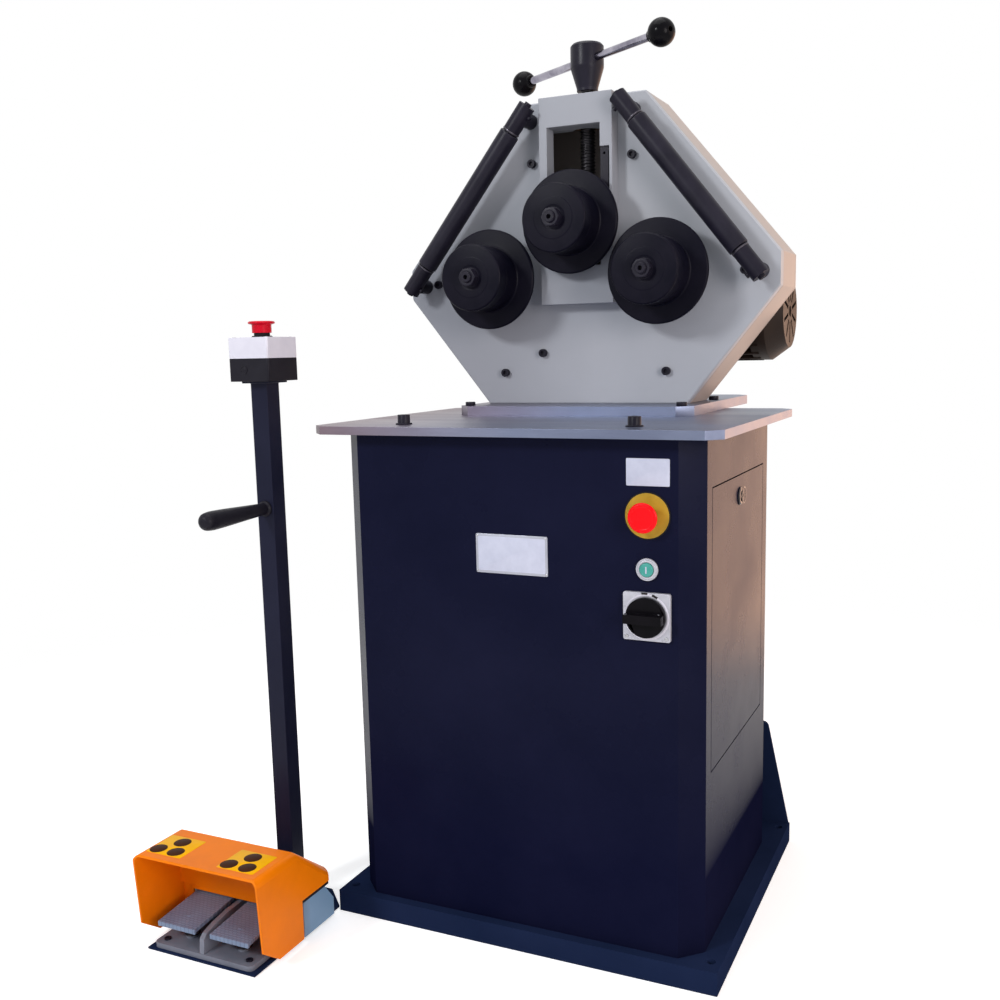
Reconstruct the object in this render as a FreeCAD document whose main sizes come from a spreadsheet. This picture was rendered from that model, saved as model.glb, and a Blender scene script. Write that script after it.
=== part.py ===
import FreeCAD, Part
import math
import os
import re
import Sketcher

# Three-roll ring roller on a cabinet, with its free-standing pedal console.
# Millimetres. +Z is up, +Y runs from the operator to the back, +X is the operator's right.
# The origin lies on the floor, in the middle of the four anchor holes of the base.

SIZES = (
    # Base tray on the floor, with the upstand at its rear edge
    ("base_width", 600), ("base_depth", 506), ("base_height", 34), ("base_sheet", 6),
    ("anchor_inset_x", 15), ("anchor_inset_y", 25), ("anchor_bore", 13),
    ("anchor_span_x", "=base_width - 2*anchor_inset_x"),
    ("anchor_span_y", "=base_depth - 2*anchor_inset_y"),
    ("upstand_rise", 180), ("upstand_inset", 2), ("upstand_taper", 38), ("upstand_corner", 10),
    ("upstand_foot", "=base_width - 2*upstand_inset"),
    ("upstand_head", "=upstand_foot - 2*upstand_taper"),
    # Cabinet of folded sheet
    ("cabinet_width", 543), ("cabinet_depth", 397), ("cabinet_margin", 15), ("cabinet_sheet", 3),
    ("cabinet_corner", 30), ("frame_thick", 5), ("frame_width", 42), ("louvre_count", 6),
    ("louvre_width", 160), ("louvre_pitch", 22), ("louvre_slot", 6),
    # Inset side door on two pivot pins, with a quarter-turn lock
    ("door_front", 57), ("door_width", 309), ("door_low", 286), ("door_height", 391),
    ("door_gap", 2), ("door_sheet", 2), ("door_lip", 10), ("pivot_inset", 10), ("pivot_depth", 5),
    ("pivot_radius", 2.5), ("lug_size", 12), ("lock_radius", 13), ("lock_drop", 30), ("lock_barrel", 9),
    ("lock_rise", 3), ("cam_reach", 40), ("cam_width", 14),
    # Table plate and sole plate, machined steel
    ("table_top", 760), ("table_thick", 12), ("table_width", 608), ("table_depth", 480),
    ("table_overhang", 31.4), ("table_corner", 20), ("table_bolt_x", 175), ("table_bolt_inset", 55),
    ("sole_width", 390), ("sole_depth", 392), ("sole_thick", 15), ("sole_inset", 252.4),
    ("sole_corner", 22.6), ("sole_bolt_x", 176.5), ("sole_bolt_inset", 19), ("sole_bolt_rear", 20),
    # Head: thick front plate, welded housing behind it and a rear cover
    ("head_inset", 75), ("plate_thick", 20), ("plate_edge", 2), ("head_depth", 117), ("head_height", 470),
    ("head_half_top", 104), ("head_half_wide", 309), ("head_half_foot", 168.5), ("wide_top", 224),
    ("wide_low", 174), ("head_wall", 6), ("cover_thick", 5), ("screw_head", 6.5), ("screw_rise", 8),
    ("screw_shank", 4), ("screw_low_x", 136.6), ("screw_low_z", 51), ("screw_mid_x", 257),
    ("screw_mid_z", 198), ("screw_high_x", 83), ("screw_high_z", 378), ("screw_odd_x", 69),
    ("screw_odd_z", 82), ("cover_low_x", 157), ("cover_low_z", 20), ("cover_wide_x", 292),
    ("cover_wide_z", 200), ("cover_slope_x", 212), ("cover_slope_z", 320), ("cover_top_x", 90),
    ("cover_top_z", 450), ("bolt_head", 9), ("bolt_rise", 12), ("bolt_shank", 5), ("washer_radius", 12),
    ("washer_thick", 2),
    # Slide housing with its window, gib and carriage
    ("slide_width", 120), ("slide_depth", 28), ("slide_low", 157), ("window_left", 46.6),
    ("window_right", 40), ("window_step", 55), ("window_drop", 45), ("step_drop", 80),
    ("window_low", 215), ("gib_thick", 13), ("gib_inset", 3), ("slide_gap", 0.3), ("slot_relief", 10),
    ("carriage_rise", 45), ("carriage_crown", 55), ("carriage_front", 6), ("carriage_depth", 76),
    # Feed screw, its nut and the cross handle
    ("screw_offset", 29), ("feed_radius", 12), ("run_gap", 0.05), ("collar_radius", 16),
    ("collar_thick", 8), ("collar_depth", 10), ("pilot_radius", 10), ("pilot_length", 8),
    ("nut_radius", 18), ("nut_length", 42), ("nut_flange", 23), ("nut_flange_thick", 8),
    ("handle_gap", 14), ("grip_radius", 26), ("grip_neck", 16.5), ("grip_height", 71),
    ("grip_shoulder", 35), ("bar_radius", 6), ("bar_drop", 24), ("bar_reach", 160), ("ball_radius", 20),
    ("ball_reach", 173), ("handle_turn", -31.5),
    # Rolls on their shafts
    ("roll_height", 199), ("roll_half_span", 138.5), ("top_roll_rise", 80), ("roll_standoff", 50),
    ("flange_radius", 77.5), ("flange_thick", 7), ("hub_radius", 50.5), ("hub_length", 63),
    ("roll_edge", 2), ("shaft_radius", 15), ("thread_radius", 8), ("thread_stick", 5),
    ("centre_bore", 3.5), ("centre_depth", 8), ("hex_across", 25), ("hex_thick", 12), ("shoulder_radius", 30),
    ("journal_radius", 25), ("bearing_radius", 40), ("bearing_width", 20), ("end_gap", 2),
    # Gear train: the module follows from the distance between the shafts
    ("roll_teeth", 32), ("pinion_teeth", 18), ("pinion_drop", 57.6), ("gear_width", 30),
    ("gear_module", "=2*sqrt(roll_half_span^2 + pinion_drop^2)/(roll_teeth + pinion_teeth)"),
    ("gear_inset", 62), ("backlash", 0.5), ("pinion_shaft", 15),
    # Right-angle gearbox and motor
    ("box_half", 75), ("box_depth", 165), ("box_corner", 14), ("box_round", 8), ("box_foot", 12),
    ("box_web", 12), ("box_lid", 6), ("motor_radius", 80), ("motor_core", 70),
    ("motor_length", 155), ("motor_offset", 97), ("fin_count", 24), ("fin_thick", 3), ("fin_root", 4),
    ("end_bell", 12),
    ("cowl_length", 42), ("cowl_end", 59), ("cowl_sheet", 3), ("rotor_radius", 9), ("blade_count", 7),
    ("grille_count", 10), ("grille_rim", 8), ("blade_gap", 4), ("blade_thick", 3), ("gland_radius", 10),
    ("gland_rise", 16), ("gland_length", 18), ("terminal_corner", 6),
    ("terminal_size", 92), ("terminal_rise", 52),
    # Guide rollers beside the rolls
    ("guide_top_x", 72.8), ("guide_top_z", 458), ("guide_foot_x", 289), ("guide_foot_z", 186),
    ("guide_standoff", 41), ("guide_eye", 13.5), ("guide_rod", 9), ("sleeve_radius", 15.8),
    ("sleeve_start", 48), ("sleeve_length", 248), ("stud_radius", 11.5), ("stud_inset", 20),
    ("stud_foot_inset", 12.5),
    # Controls on the cabinet's front
    ("control_x", 200), ("estop_z", 646), ("start_z", 575), ("switch_z", 512), ("control_bore", 11.25),
    ("control_tube", 11), ("block_size", 30), ("block_height", 38), ("block_depth", 34), ("tube_length", 18),
    ("estop_ring", 30), ("estop_ring_thick", 2), ("estop_collar_radius", 11.5), ("estop_collar_rise", 8),
    ("estop_stem_radius", 8), ("mushroom_radius", 20), ("mushroom_skirt", 14.5), ("mushroom_height", 17.5),
    ("mushroom_rim", 5), ("mushroom_seat", 10), ("mushroom_room", 6), ("mushroom_gap", 6.5),
    ("start_radius", 15), ("start_rise", 4), ("start_button_radius", 9.5), ("start_travel", 3),
    ("switch_size", 65), ("switch_thick", 6), ("switch_corner", 3),
    ("knob_radius", 27), ("knob_thick", 7), ("knob_grip", 14),
    ("knob_bar", 12), ("knob_stem", 4),
    # Electrical panel inside the cabinet
    ("panel_x", 105), ("panel_low", 300), ("panel_height", 350), ("panel_sheet", 2),
    ("contactor_width", 45), ("contactor_height", 82), ("contactor_depth", 74), ("rail_drop", 75),
    ("rail_inset", 70), ("rail_length", 260), ("rail_rise", 7), ("rail_height", 35), ("relay_inset", 252),
    ("coil_inset", 100), ("coil_size", 90), ("coil_rise", 60), ("coil_flange", 12),
    # Console: plate, pole, handle and emergency-stop box
    ("console_gap", 6), ("console_lead", 205), ("console_width", 195), ("console_depth", 253),
    ("console_x", "=-(base_width/2 + console_gap + console_width/2)"),
    ("console_front", "=-(base_depth/2 + console_lead)"), ("console_corner", 41), ("console_plate", 3),
    ("pole_inset", 223), ("pole_y", "=console_front + pole_inset"), ("pole_size", 30), ("pole_wall", 2),
    ("pole_top", 822), ("grip_z", 632), ("grip_length", 143), ("grip_root", 10), ("grip_weld", 6),
    ("grip_tip", 14),
    ("stop_box_size", 72), ("stop_box_low", 825), ("stop_box_height", 65), ("stop_box_split", 34),
    ("stop_box_wall", 3), ("stop_box_corner", 3), ("stop_collar_rise", 8), ("stem_length", 36),
    ("pole_head_size", 48),
    # Console: cast pedal base, pedals and guard
    ("cast_width", 178), ("cast_front", 4), ("cast_thick", 8), ("cast_corner", 8), ("cast_hole", 3.5),
    ("cast_hole_inset", 14), ("house_width", 208), ("house_front", 97), ("house_rear", 188),
    ("house_nose", 111), ("house_mid", 141), ("house_step", 30), ("house_height", 64),
    ("boss_inset", 119), ("boss_rise", 10), ("rib_thick", 8), ("rib_front", 22), ("rib_rise", 39),
    ("rib_start", 1), ("rib_lean", 2), ("rib_nose", 10), ("rib_step", 6), ("rib_crest", 28),
    ("rib_shoulder", 60), ("rib_length", 110), ("ear_size", 8), ("ear_thick", 3), ("pin_inset", 2),
    ("pedal_width", 68), ("pedal_centre", 48), ("pedal_front", 8), ("pedal_length", 92), ("pedal_low", 38),
    ("pedal_lift", 8), ("pedal_thick", 5), ("pedal_lip", 2), ("pedal_skirt", 3), ("pedal_pin", 4),
    ("pedal_arm", 53), ("knuckle_inset", 6), ("web_offset", 20), ("web_thick", 4), ("web_reach", 30),
    ("web_drop", 3), ("plunger_drop", 5), ("plunger_radius", 7), ("plunger_length", 19), ("spring_seat", 9),
    # Console: bent guard over the pedals
    ("guard_width", 224), ("guard_sheet", 3), ("guard_top", 146), ("guard_front", 3), ("guard_lean", 4),
    ("guard_crease", 93),
    ("guard_corner", 11), ("guard_wall_low", 60), ("guard_tail", 167), ("guard_tail_top", 90),
    ("guard_foot", 9), ("guard_foot_front", 40), ("guard_foot_rear", 99), ("guard_side_low", 36),
    ("guard_tail_low", 69),
)

V = FreeCAD.Vector
TURNS = {
    "X": FreeCAD.Rotation(V(0, 1, 0), 90),
    "Y": FreeCAD.Rotation(V(1, 0, 0), -90),
    "Z": FreeCAD.Rotation(),
}
PRESSURE_ANGLE = 20
PLANES = {"X": "YZ_Plane", "Y": "XZ_Plane", "Z": "XY_Plane"}

doc = FreeCAD.newDocument("RingRoller")
sheet = doc.addObject("Spreadsheet::Sheet", "Sizes")
for row, (alias, value) in enumerate(SIZES, start=1):
    sheet.set(f"A{row}", alias)
    sheet.set(f"B{row}", str(value))
    sheet.setAlias(f"B{row}", alias)
doc.recompute()
SIZE = {alias: float(getattr(sheet, alias)) for alias, value in SIZES}

# Places that several pieces share, as expressions of the sheet's values
CAB_FRONT = "(cabinet_margin - base_depth/2)"
CAB_REAR = f"({CAB_FRONT} + cabinet_depth)"
CAB_TOP = "(table_top - table_thick)"
CAB_SIDE = "(cabinet_width/2)"
TABLE_FRONT = f"({CAB_FRONT} - table_overhang)"
TABLE_REAR = f"({TABLE_FRONT} + table_depth)"
TABLE_BOLT_Y = f"({TABLE_FRONT} + table_bolt_inset)"
SOLE_FRONT = f"({TABLE_FRONT} + sole_inset)"
SOLE_TOP = "(table_top + sole_thick)"
HEAD_FRONT = f"({SOLE_FRONT} + head_inset)"
HEAD_BACK = f"({HEAD_FRONT} + head_depth)"
PLATE_BACK = f"({HEAD_FRONT} + plate_thick)"
COVER_FRONT = f"({HEAD_BACK} - cover_thick)"
HEAD_TOP = f"({SOLE_TOP} + head_height)"
SLIDE_FRONT = f"({HEAD_FRONT} - slide_depth)"
ROLL_Z = f"({SOLE_TOP} + roll_height)"
TOP_ROLL_Z = f"({ROLL_Z} + top_roll_rise)"
PINION_Z = f"({ROLL_Z} - pinion_drop)"
GEAR_FRONT = f"({HEAD_FRONT} + gear_inset)"
SCREW_Y = f"({HEAD_FRONT} + screw_offset)"
FLANGE_BACK = f"({HEAD_FRONT} - roll_standoff)"
HUB_FRONT = f"({FLANGE_BACK} - flange_thick - hub_length)"
CARRIAGE_FRONT = f"({SLIDE_FRONT} + carriage_front)"
CARRIAGE_BACK = f"({CARRIAGE_FRONT} + carriage_depth)"
CARRIAGE_TOP = f"({TOP_ROLL_Z} + carriage_crown)"
GRIP_Z = f"({HEAD_TOP} + handle_gap)"
MOTOR_Y = f"({HEAD_BACK} + motor_offset)"
DOOR_FRONT = f"({CAB_FRONT} + door_front)"
DOOR_REAR = f"({DOOR_FRONT} + door_width)"
DOOR_TOP = "(door_low + door_height)"
PIVOT_X = f"({CAB_SIDE} - pivot_depth)"
PIVOT_Y = f"({DOOR_REAR} - pivot_inset)"
GUIDE_Y = f"({HEAD_FRONT} - guide_standoff)"
CONSOLE_REAR = "(console_front + console_depth)"
LOCK_Y = f"({DOOR_FRONT} + door_width/2)"
LOCK_Z = f"({DOOR_TOP} - lock_drop)"
POLE_FRONT = "(pole_y - pole_size/2)"
PEDAL_Y = "(console_front + house_front - 4)"
PEDAL_Z = "(pedal_low - 6)"
# Height just under the guard's sloping tail, at a distance behind the console's front edge
UNDER_TAIL = ("(guard_top - 2*guard_sheet - ({} - guard_crease)*(guard_top - guard_tail_top)"
              "/(guard_tail - guard_crease))")


def link(text):
    """An expression with each alias written as a cell of the sheet."""
    return re.sub(r"[a-z]\w*", lambda word: f"Sizes.{word[0]}" if word[0] in SIZE else word[0], str(text))


def bind(thing, **links):
    for path, text in links.items():
        thing.setExpression(path.replace("__", "."), link(text))
    return thing


def place(thing, at, turn=FreeCAD.Rotation()):
    thing.Placement = FreeCAD.Placement(V(), turn)
    return bind(thing, Placement__Base__x=at[0], Placement__Base__y=at[1], Placement__Base__z=at[2])


def block(name, x, y, z):
    """A box between two corners, given as a low and a high expression on each axis."""
    solid = doc.addObject("Part::Box", name)
    place(solid, (x[0], y[0], z[0]))
    return bind(solid, Length=f"{x[1]} - ({x[0]})", Width=f"{y[1]} - ({y[0]})", Height=f"{z[1]} - ({z[0]})")


def rod(name, axis, at, radius, length, turn=None):
    """A cylinder that starts at a point and runs along +X, +Y or +Z."""
    solid = doc.addObject("Part::Cylinder", name)
    place(solid, at, turn or TURNS[axis])
    return bind(solid, Radius=radius, Height=length)


def cut(name, base, *tools):
    solid = doc.addObject("Part::Cut", name)
    solid.Base = base
    solid.Tool = tools[0] if len(tools) == 1 else fuse(f"{name}_tools", *tools)
    return solid


def fuse(name, *parts):
    solid = doc.addObject("Part::MultiFuse", name)
    solid.Shapes = list(parts)
    return solid


def together(name, parts):
    """Separate solids of one kind, kept in one node."""
    group = doc.addObject("Part::Compound", name)
    group.Links = list(parts)
    return group


def outline(body, axis, points):
    """A closed polygon on a plane of the body's origin, with every corner bound to the sheet."""
    drawing = body.newObject("Sketcher::SketchObject", f"{body.Name}_outline")
    plane = next(item for item in body.Origin.OriginFeatures if item.Role == PLANES[axis])
    drawing.AttachmentSupport = [(plane, "")]
    drawing.MapMode = "FlatFace"
    count = len(points)
    start = [V(math.cos(math.tau*i/count), math.sin(math.tau*i/count), 0)*count*10 for i in range(count)]
    for i in range(count):
        drawing.addGeometry(Part.LineSegment(start[i], start[(i + 1) % count]), False)
    for i in range(count):
        drawing.addConstraint(Sketcher.Constraint("Coincident", i, 2, (i + 1) % count, 1))
    for i, corner in enumerate(points):
        for kind, value, text in zip(("DistanceX", "DistanceY"), start[i], corner):
            index = drawing.addConstraint(Sketcher.Constraint(kind, -1, 1, i, 1, value))
            drawing.setExpression(f"Constraints[{index}]", link(text))
    return drawing


def prism(name, axis, points, low, length):
    """A polygon across an axis, padded along it from a low end."""
    body = doc.addObject("PartDesign::Body", name)
    drawing = outline(body, axis, points)
    pad = body.newObject("PartDesign::Pad", f"{name}_pad")
    pad.Profile = drawing
    pad.Reversed = axis == "Y"
    bind(pad, Length=length)
    at = [0, 0, 0]
    at["XYZ".index(axis)] = low
    return place(body, at)


def upright(name, x, y, z):
    """A block whose upright edges can be rounded, between the given limits on each axis."""
    corners = [(x[0], y[0]), (x[1], y[0]), (x[1], y[1]), (x[0], y[1])]
    return prism(name, "Z", corners, z[0], f"{z[1]} - ({z[0]})")


def lathe(name, axis, points, at):
    """A profile of (radius, distance along the axis) corners, turned about the axis."""
    body = doc.addObject("PartDesign::Body", name)
    corners = [(along, radius) for radius, along in points] if axis == "X" else points
    drawing = outline(body, "Y" if axis == "Z" else "Z", corners)
    turned = body.newObject("PartDesign::Revolution", f"{name}_turned")
    turned.Profile = drawing
    turned.ReferenceAxis = (drawing, ["H_Axis" if axis == "X" else "V_Axis"])
    turned.Angle = 360
    return place(body, at)


def soften(body, pick, radius, kind="Fillet"):
    """Rounds or chamfers the edges of a body's last feature that a test picks."""
    doc.recompute()
    base = body.Tip
    names = [f"Edge{i}" for i, edge in enumerate(base.Shape.Edges, start=1) if pick(edge)]
    edge_work = body.newObject(f"PartDesign::{kind}", f"{body.Name}_{kind.lower()}")
    edge_work.Base = (base, names)
    bind(edge_work, **{"Radius" if kind == "Fillet" else "Size": radius})
    return body


def along(edge, axis):
    """Whether a straight edge runs along an axis."""
    ends = [vertex.Point for vertex in edge.Vertexes]
    if len(ends) < 2 or not isinstance(edge.Curve, Part.Line):
        return False
    return abs((ends[1] - ends[0]).normalize()[("XYZ").index(axis)]) > 0.999


def mirrored(name, source, plane_normal=V(1, 0, 0)):
    """The same piece on the machine's other side."""
    twin = doc.addObject("Part::Mirroring", name)
    twin.Source = source
    twin.Normal = plane_normal
    return twin


def sides(x):
    """The same distance to the left and to the right of the middle."""
    return (f"-({x})", f"({x})")


NODES = []


def node(thing):
    """Keeps a finished piece as a node, under its label."""
    thing.Label = thing.Name
    NODES.append(thing)
    return thing


def base_tray():
    """Folded tray, open below, with four anchor holes and a trapezoid upstand welded at the rear."""
    outer = block("base_skin", sides("base_width/2"), sides("base_depth/2"), ("0", "base_height"))
    hollow = block("base_hollow", sides("base_width/2 - base_sheet"), sides("base_depth/2 - base_sheet"),
                   ("-1", "base_height - base_sheet"))
    anchors = [(x, y) for x in sides("anchor_span_x/2") for y in sides("anchor_span_y/2")]
    bushes = [rod(f"anchor_bush_{i}", "Z", (x, y, "0"), "anchor_bore", "base_height - 1")
              for i, (x, y) in enumerate(anchors)]
    holes = [rod(f"anchor_{i}", "Z", (x, y, "-1"), "anchor_bore/2", "base_height + 2")
             for i, (x, y) in enumerate(anchors)]
    upstand = prism("upstand", "Y", [("-upstand_foot/2", "base_height"), ("upstand_foot/2", "base_height"),
                                     ("upstand_head/2", "base_height + upstand_rise"),
                                     ("-upstand_head/2", "base_height + upstand_rise")],
                    "base_depth/2 - base_sheet", "base_sheet")
    top = SIZE["base_height"] + SIZE["upstand_rise"] - 1
    soften(upstand, lambda edge: along(edge, "Y") and edge.CenterOfMass.z > top, "upstand_corner")
    tray = fuse("base_tray", cut("base_sheets", outer, hollow), *bushes, upstand)
    node(cut("base_plate", tray, *holes))


def cabinet_outline(name, inset, low, high):
    """The cabinet's plan, with its two front corners cut off, shrunk by an inset."""
    side = f"({CAB_SIDE} - ({inset}))"
    front = f"({CAB_FRONT} + ({inset}))"
    rear = f"({CAB_REAR} - ({inset}))"
    corner = f"(cabinet_corner - 0.586*({inset}))"
    points = [(f"-{side}", rear), (f"-{side}", f"{front} + {corner}"), (f"-{side} + {corner}", front),
              (f"{side} - {corner}", front), (side, f"{front} + {corner}"), (side, rear)]
    return prism(name, "Z", points, low, f"{high} - ({low})")


def cabinet():
    """Sheet shell with frame flanges at its top, foot and back, and the lugs for the door's pins."""
    skin = cabinet_outline("cabinet_skin", "0", "base_height", CAB_TOP)
    room = cabinet_outline("cabinet_room", "cabinet_sheet", "base_height + frame_thick",
                           f"{CAB_TOP} - frame_thick")
    well = cabinet_outline("cabinet_well", "frame_width", "base_height - 1", f"{CAB_TOP} + 1")
    back = block("cabinet_back_opening", sides(f"{CAB_SIDE} - frame_width"),
                 (f"{CAB_REAR} - 2*cabinet_sheet", f"{CAB_REAR} + 1"),
                 ("base_height + frame_width", f"{CAB_TOP} - frame_width"))
    doorway = block("doorway", (f"{CAB_SIDE} - 2*cabinet_sheet", f"{CAB_SIDE} + 1"),
                    (f"{DOOR_FRONT} - door_gap", f"{DOOR_REAR} + door_gap"),
                    ("door_low - door_gap", f"{DOOR_TOP} + door_gap"))
    holes = [rod(f"control_hole_{height}", "Y", ("control_x", f"{CAB_FRONT} - 1", height), "control_bore",
                 "cabinet_sheet + 2") for height in ("estop_z", "start_z", "switch_z")]
    bolts = [rod(f"flange_hole_{i}", "Z", (x, TABLE_BOLT_Y, f"{CAB_TOP} - 2*frame_thick"), "bolt_shank",
                 "3*frame_thick") for i, x in enumerate(sides("table_bolt_x"))]
    shell = cut("cabinet_sheets", skin, room, well, back, doorway, *holes)
    lugs = [block(f"door_lug_{i}", (f"{PIVOT_X} - lug_size/2", f"{CAB_SIDE} - cabinet_sheet"),
                  (f"{PIVOT_Y} - lug_size/2", f"{PIVOT_Y} + lug_size/2"), span)
            for i, span in enumerate(((f"{DOOR_TOP} + door_gap", f"{DOOR_TOP} + door_gap + lug_size"),
                                      ("door_low - door_gap - lug_size", "door_low - door_gap")))]
    eyes = rod("door_lug_bore", "Z", (PIVOT_X, PIVOT_Y, "door_low - 2*lug_size"),
               "pivot_radius + run_gap", "door_height + 4*lug_size")
    node(cut("cabinet_shell", fuse("cabinet_welded", shell, *lugs), eyes, *bolts))


def back_cover():
    """Screwed sheet over the cabinet's back opening, with two stacks of louvre slots."""
    sheet_cover = block("back_sheet", sides(f"{CAB_SIDE} - frame_width/2"),
                        (CAB_REAR, f"{CAB_REAR} + door_sheet"),
                        ("base_height + frame_width/2", f"{CAB_TOP} - frame_width/2"))
    slots = []
    for i, height in enumerate(("base_height + 3*frame_width", f"{CAB_TOP} - 6*frame_width")):
        for k in range(int(SIZE["louvre_count"])):
            low = f"{height} + {k}*louvre_pitch"
            slots.append(block(f"louvre_{i}{k}", sides("louvre_width/2"),
                               (f"{CAB_REAR} - 1", f"{CAB_REAR} + 2*door_sheet"),
                               (low, f"{low} + louvre_slot")))
    holes = [rod(f"back_hole_{i}", "Y", (x, f"{CAB_REAR} - 1", z), "screw_shank/2", "door_sheet + 2")
             for i, (x, z) in enumerate(BACK_SCREWS)]
    node(cut("cabinet_back_cover", sheet_cover, *slots, *holes))


def door():
    """Inset door pressed from sheet, with return lips, two pivot pins and a bore for its lock."""
    inner = f"{CAB_SIDE} - door_sheet"
    panel = block("door_panel", (inner, CAB_SIDE), (DOOR_FRONT, DOOR_REAR), ("door_low", DOOR_TOP))
    depth = (f"{inner} - door_lip", inner)
    lips = [block("door_lip_top", depth, (DOOR_FRONT, DOOR_REAR), (f"{DOOR_TOP} - door_sheet", DOOR_TOP)),
            block("door_lip_foot", depth, (DOOR_FRONT, DOOR_REAR), ("door_low", "door_low + door_sheet")),
            block("door_lip_front", depth, (DOOR_FRONT, f"{DOOR_FRONT} + door_sheet"),
                  ("door_low", DOOR_TOP))]
    pins = [rod("door_pin_top", "Z", (PIVOT_X, PIVOT_Y, f"{DOOR_TOP} - door_lip"), "pivot_radius",
                "door_lip + door_gap + lug_size - 1"),
            rod("door_pin_foot", "Z", (PIVOT_X, PIVOT_Y, "door_low - door_gap - lug_size + 1"),
                "pivot_radius", "door_lip + door_gap + lug_size - 1")]
    bore = rod("lock_bore", "X", (f"{inner} - 1", LOCK_Y, LOCK_Z), "lock_barrel + run_gap", "door_sheet + 2")
    node(cut("cabinet_door", fuse("door_welded", panel, *lips, *pins), bore))


def door_lock():
    """Quarter-turn lock: escutcheon, barrel, key post and the cam behind the door."""
    well = "lock_barrel - 1"
    escutcheon = lathe("lock_face", "X", [("0", "0"), ("lock_radius", "0"), ("lock_radius", "lock_rise/2"),
                                          ("lock_radius - 2", "lock_rise"), (well, "lock_rise"),
                                          (well, "lock_rise/3"), ("lock_barrel/3", "lock_rise/3"),
                                          ("lock_barrel/3", "lock_rise"), ("0", "lock_rise")],
                       (f"{CAB_SIDE} + 2*run_gap", LOCK_Y, LOCK_Z))
    barrel = rod("lock_cylinder", "X", (f"{CAB_SIDE} - lock_drop/2", LOCK_Y, LOCK_Z), "lock_barrel",
                 "lock_drop/2 + 1")
    cam = block("lock_cam", (f"{CAB_SIDE} - lock_drop/2", f"{CAB_SIDE} - lock_drop/2 + door_sheet"),
                (f"{LOCK_Y} - lock_barrel", f"{LOCK_Y} + cam_reach"),
                (f"{LOCK_Z} - cam_width/2", f"{LOCK_Z} + cam_width/2"))
    node(fuse("door_lock", escutcheon, barrel, cam))


def plates():
    """The table plate on the cabinet and the sole plate that carries the head and the motor."""
    def plate(name, width, front, depth, corner, low, thick):
        half = f"({width}/2)"
        rear = f"({front} + {depth})"
        points = [(f"-{half}", f"{front} + {corner}"), (f"-{half} + {corner}", front),
                  (f"{half} - {corner}", front), (half, f"{front} + {corner}"), (half, f"{rear} - {corner}"),
                  (f"{half} - {corner}", rear), (f"-{half} + {corner}", rear),
                  (f"-{half}", f"{rear} - {corner}")]
        return prism(name, "Z", points, low, thick)

    table = plate("table_blank", "table_width", TABLE_FRONT, "table_depth", "table_corner", CAB_TOP,
                  "table_thick")
    sole = plate("sole_blank", "sole_width", SOLE_FRONT, "sole_depth", "sole_corner", "table_top",
                 "sole_thick")
    holes = [rod(f"table_hole_{i}", "Z", (x, TABLE_BOLT_Y, f"{CAB_TOP} - 1"), "bolt_shank", "table_thick + 2")
             for i, x in enumerate(sides("table_bolt_x"))]
    sole_holes = []
    for i, x in enumerate(sides("sole_bolt_x")):
        for k, y in enumerate((f"{SOLE_FRONT} + sole_bolt_inset", f"{TABLE_REAR} - sole_bolt_rear")):
            sole_holes.append(rod(f"sole_hole_{i}{k}", "Z", (x, y, f"{CAB_TOP} - 1"), "bolt_shank",
                                  "table_thick + sole_thick + 2"))
    node(cut("table_plate", table, *holes, *sole_holes))
    node(cut("sole_plate", sole, *sole_holes))


def cap_screw(name, axis, at, head, rise, shank, depth, washer=False):
    """Socket-head screw: at is the seat under its head, axis a sign and a letter of the way it points out."""
    sign, letter = axis
    index = "XYZ".index(letter)

    def shifted(distance):
        moved = list(at)
        moved[index] = f"{at[index]} {sign} ({distance})"
        return moved

    def span(name, radius, start, length):
        low = shifted(start) if sign == "+" else shifted(f"{start} + {length}")
        return rod(name, letter, low, radius, length)

    lift = "washer_thick" if washer else "0"
    solid = fuse(f"{name}_solid", span(f"{name}_head", head, lift, rise),
                 span(f"{name}_shank", shank, f"-({depth})", f"{depth} + {lift}"),
                 *([span(f"{name}_washer", "washer_radius", "0", lift)] if washer else []))
    return cut(name, solid, span(f"{name}_socket", f"{head}*0.5", f"{lift} + {rise}/2", rise))


BACK_SCREWS = [(x, z) for x in sides(f"{CAB_SIDE} - frame_width*0.7")
               for z in ("base_height + frame_width*0.7", f"({CAB_TOP} + base_height)/2",
                         f"{CAB_TOP} - frame_width*0.7")]
PLATE_SCREWS = [(x, f"{SOLE_TOP} + screw_{place}_z") for place in ("high", "low", "mid")
                for x in sides(f"screw_{place}_x")] + [("-screw_odd_x", f"{SOLE_TOP} + screw_odd_z")]
COVER_SCREWS = [(x, f"{SOLE_TOP} + cover_{place}_z") for place in ("top", "wide", "low", "slope")
                for x in sides(f"cover_{place}_x")]


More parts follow.
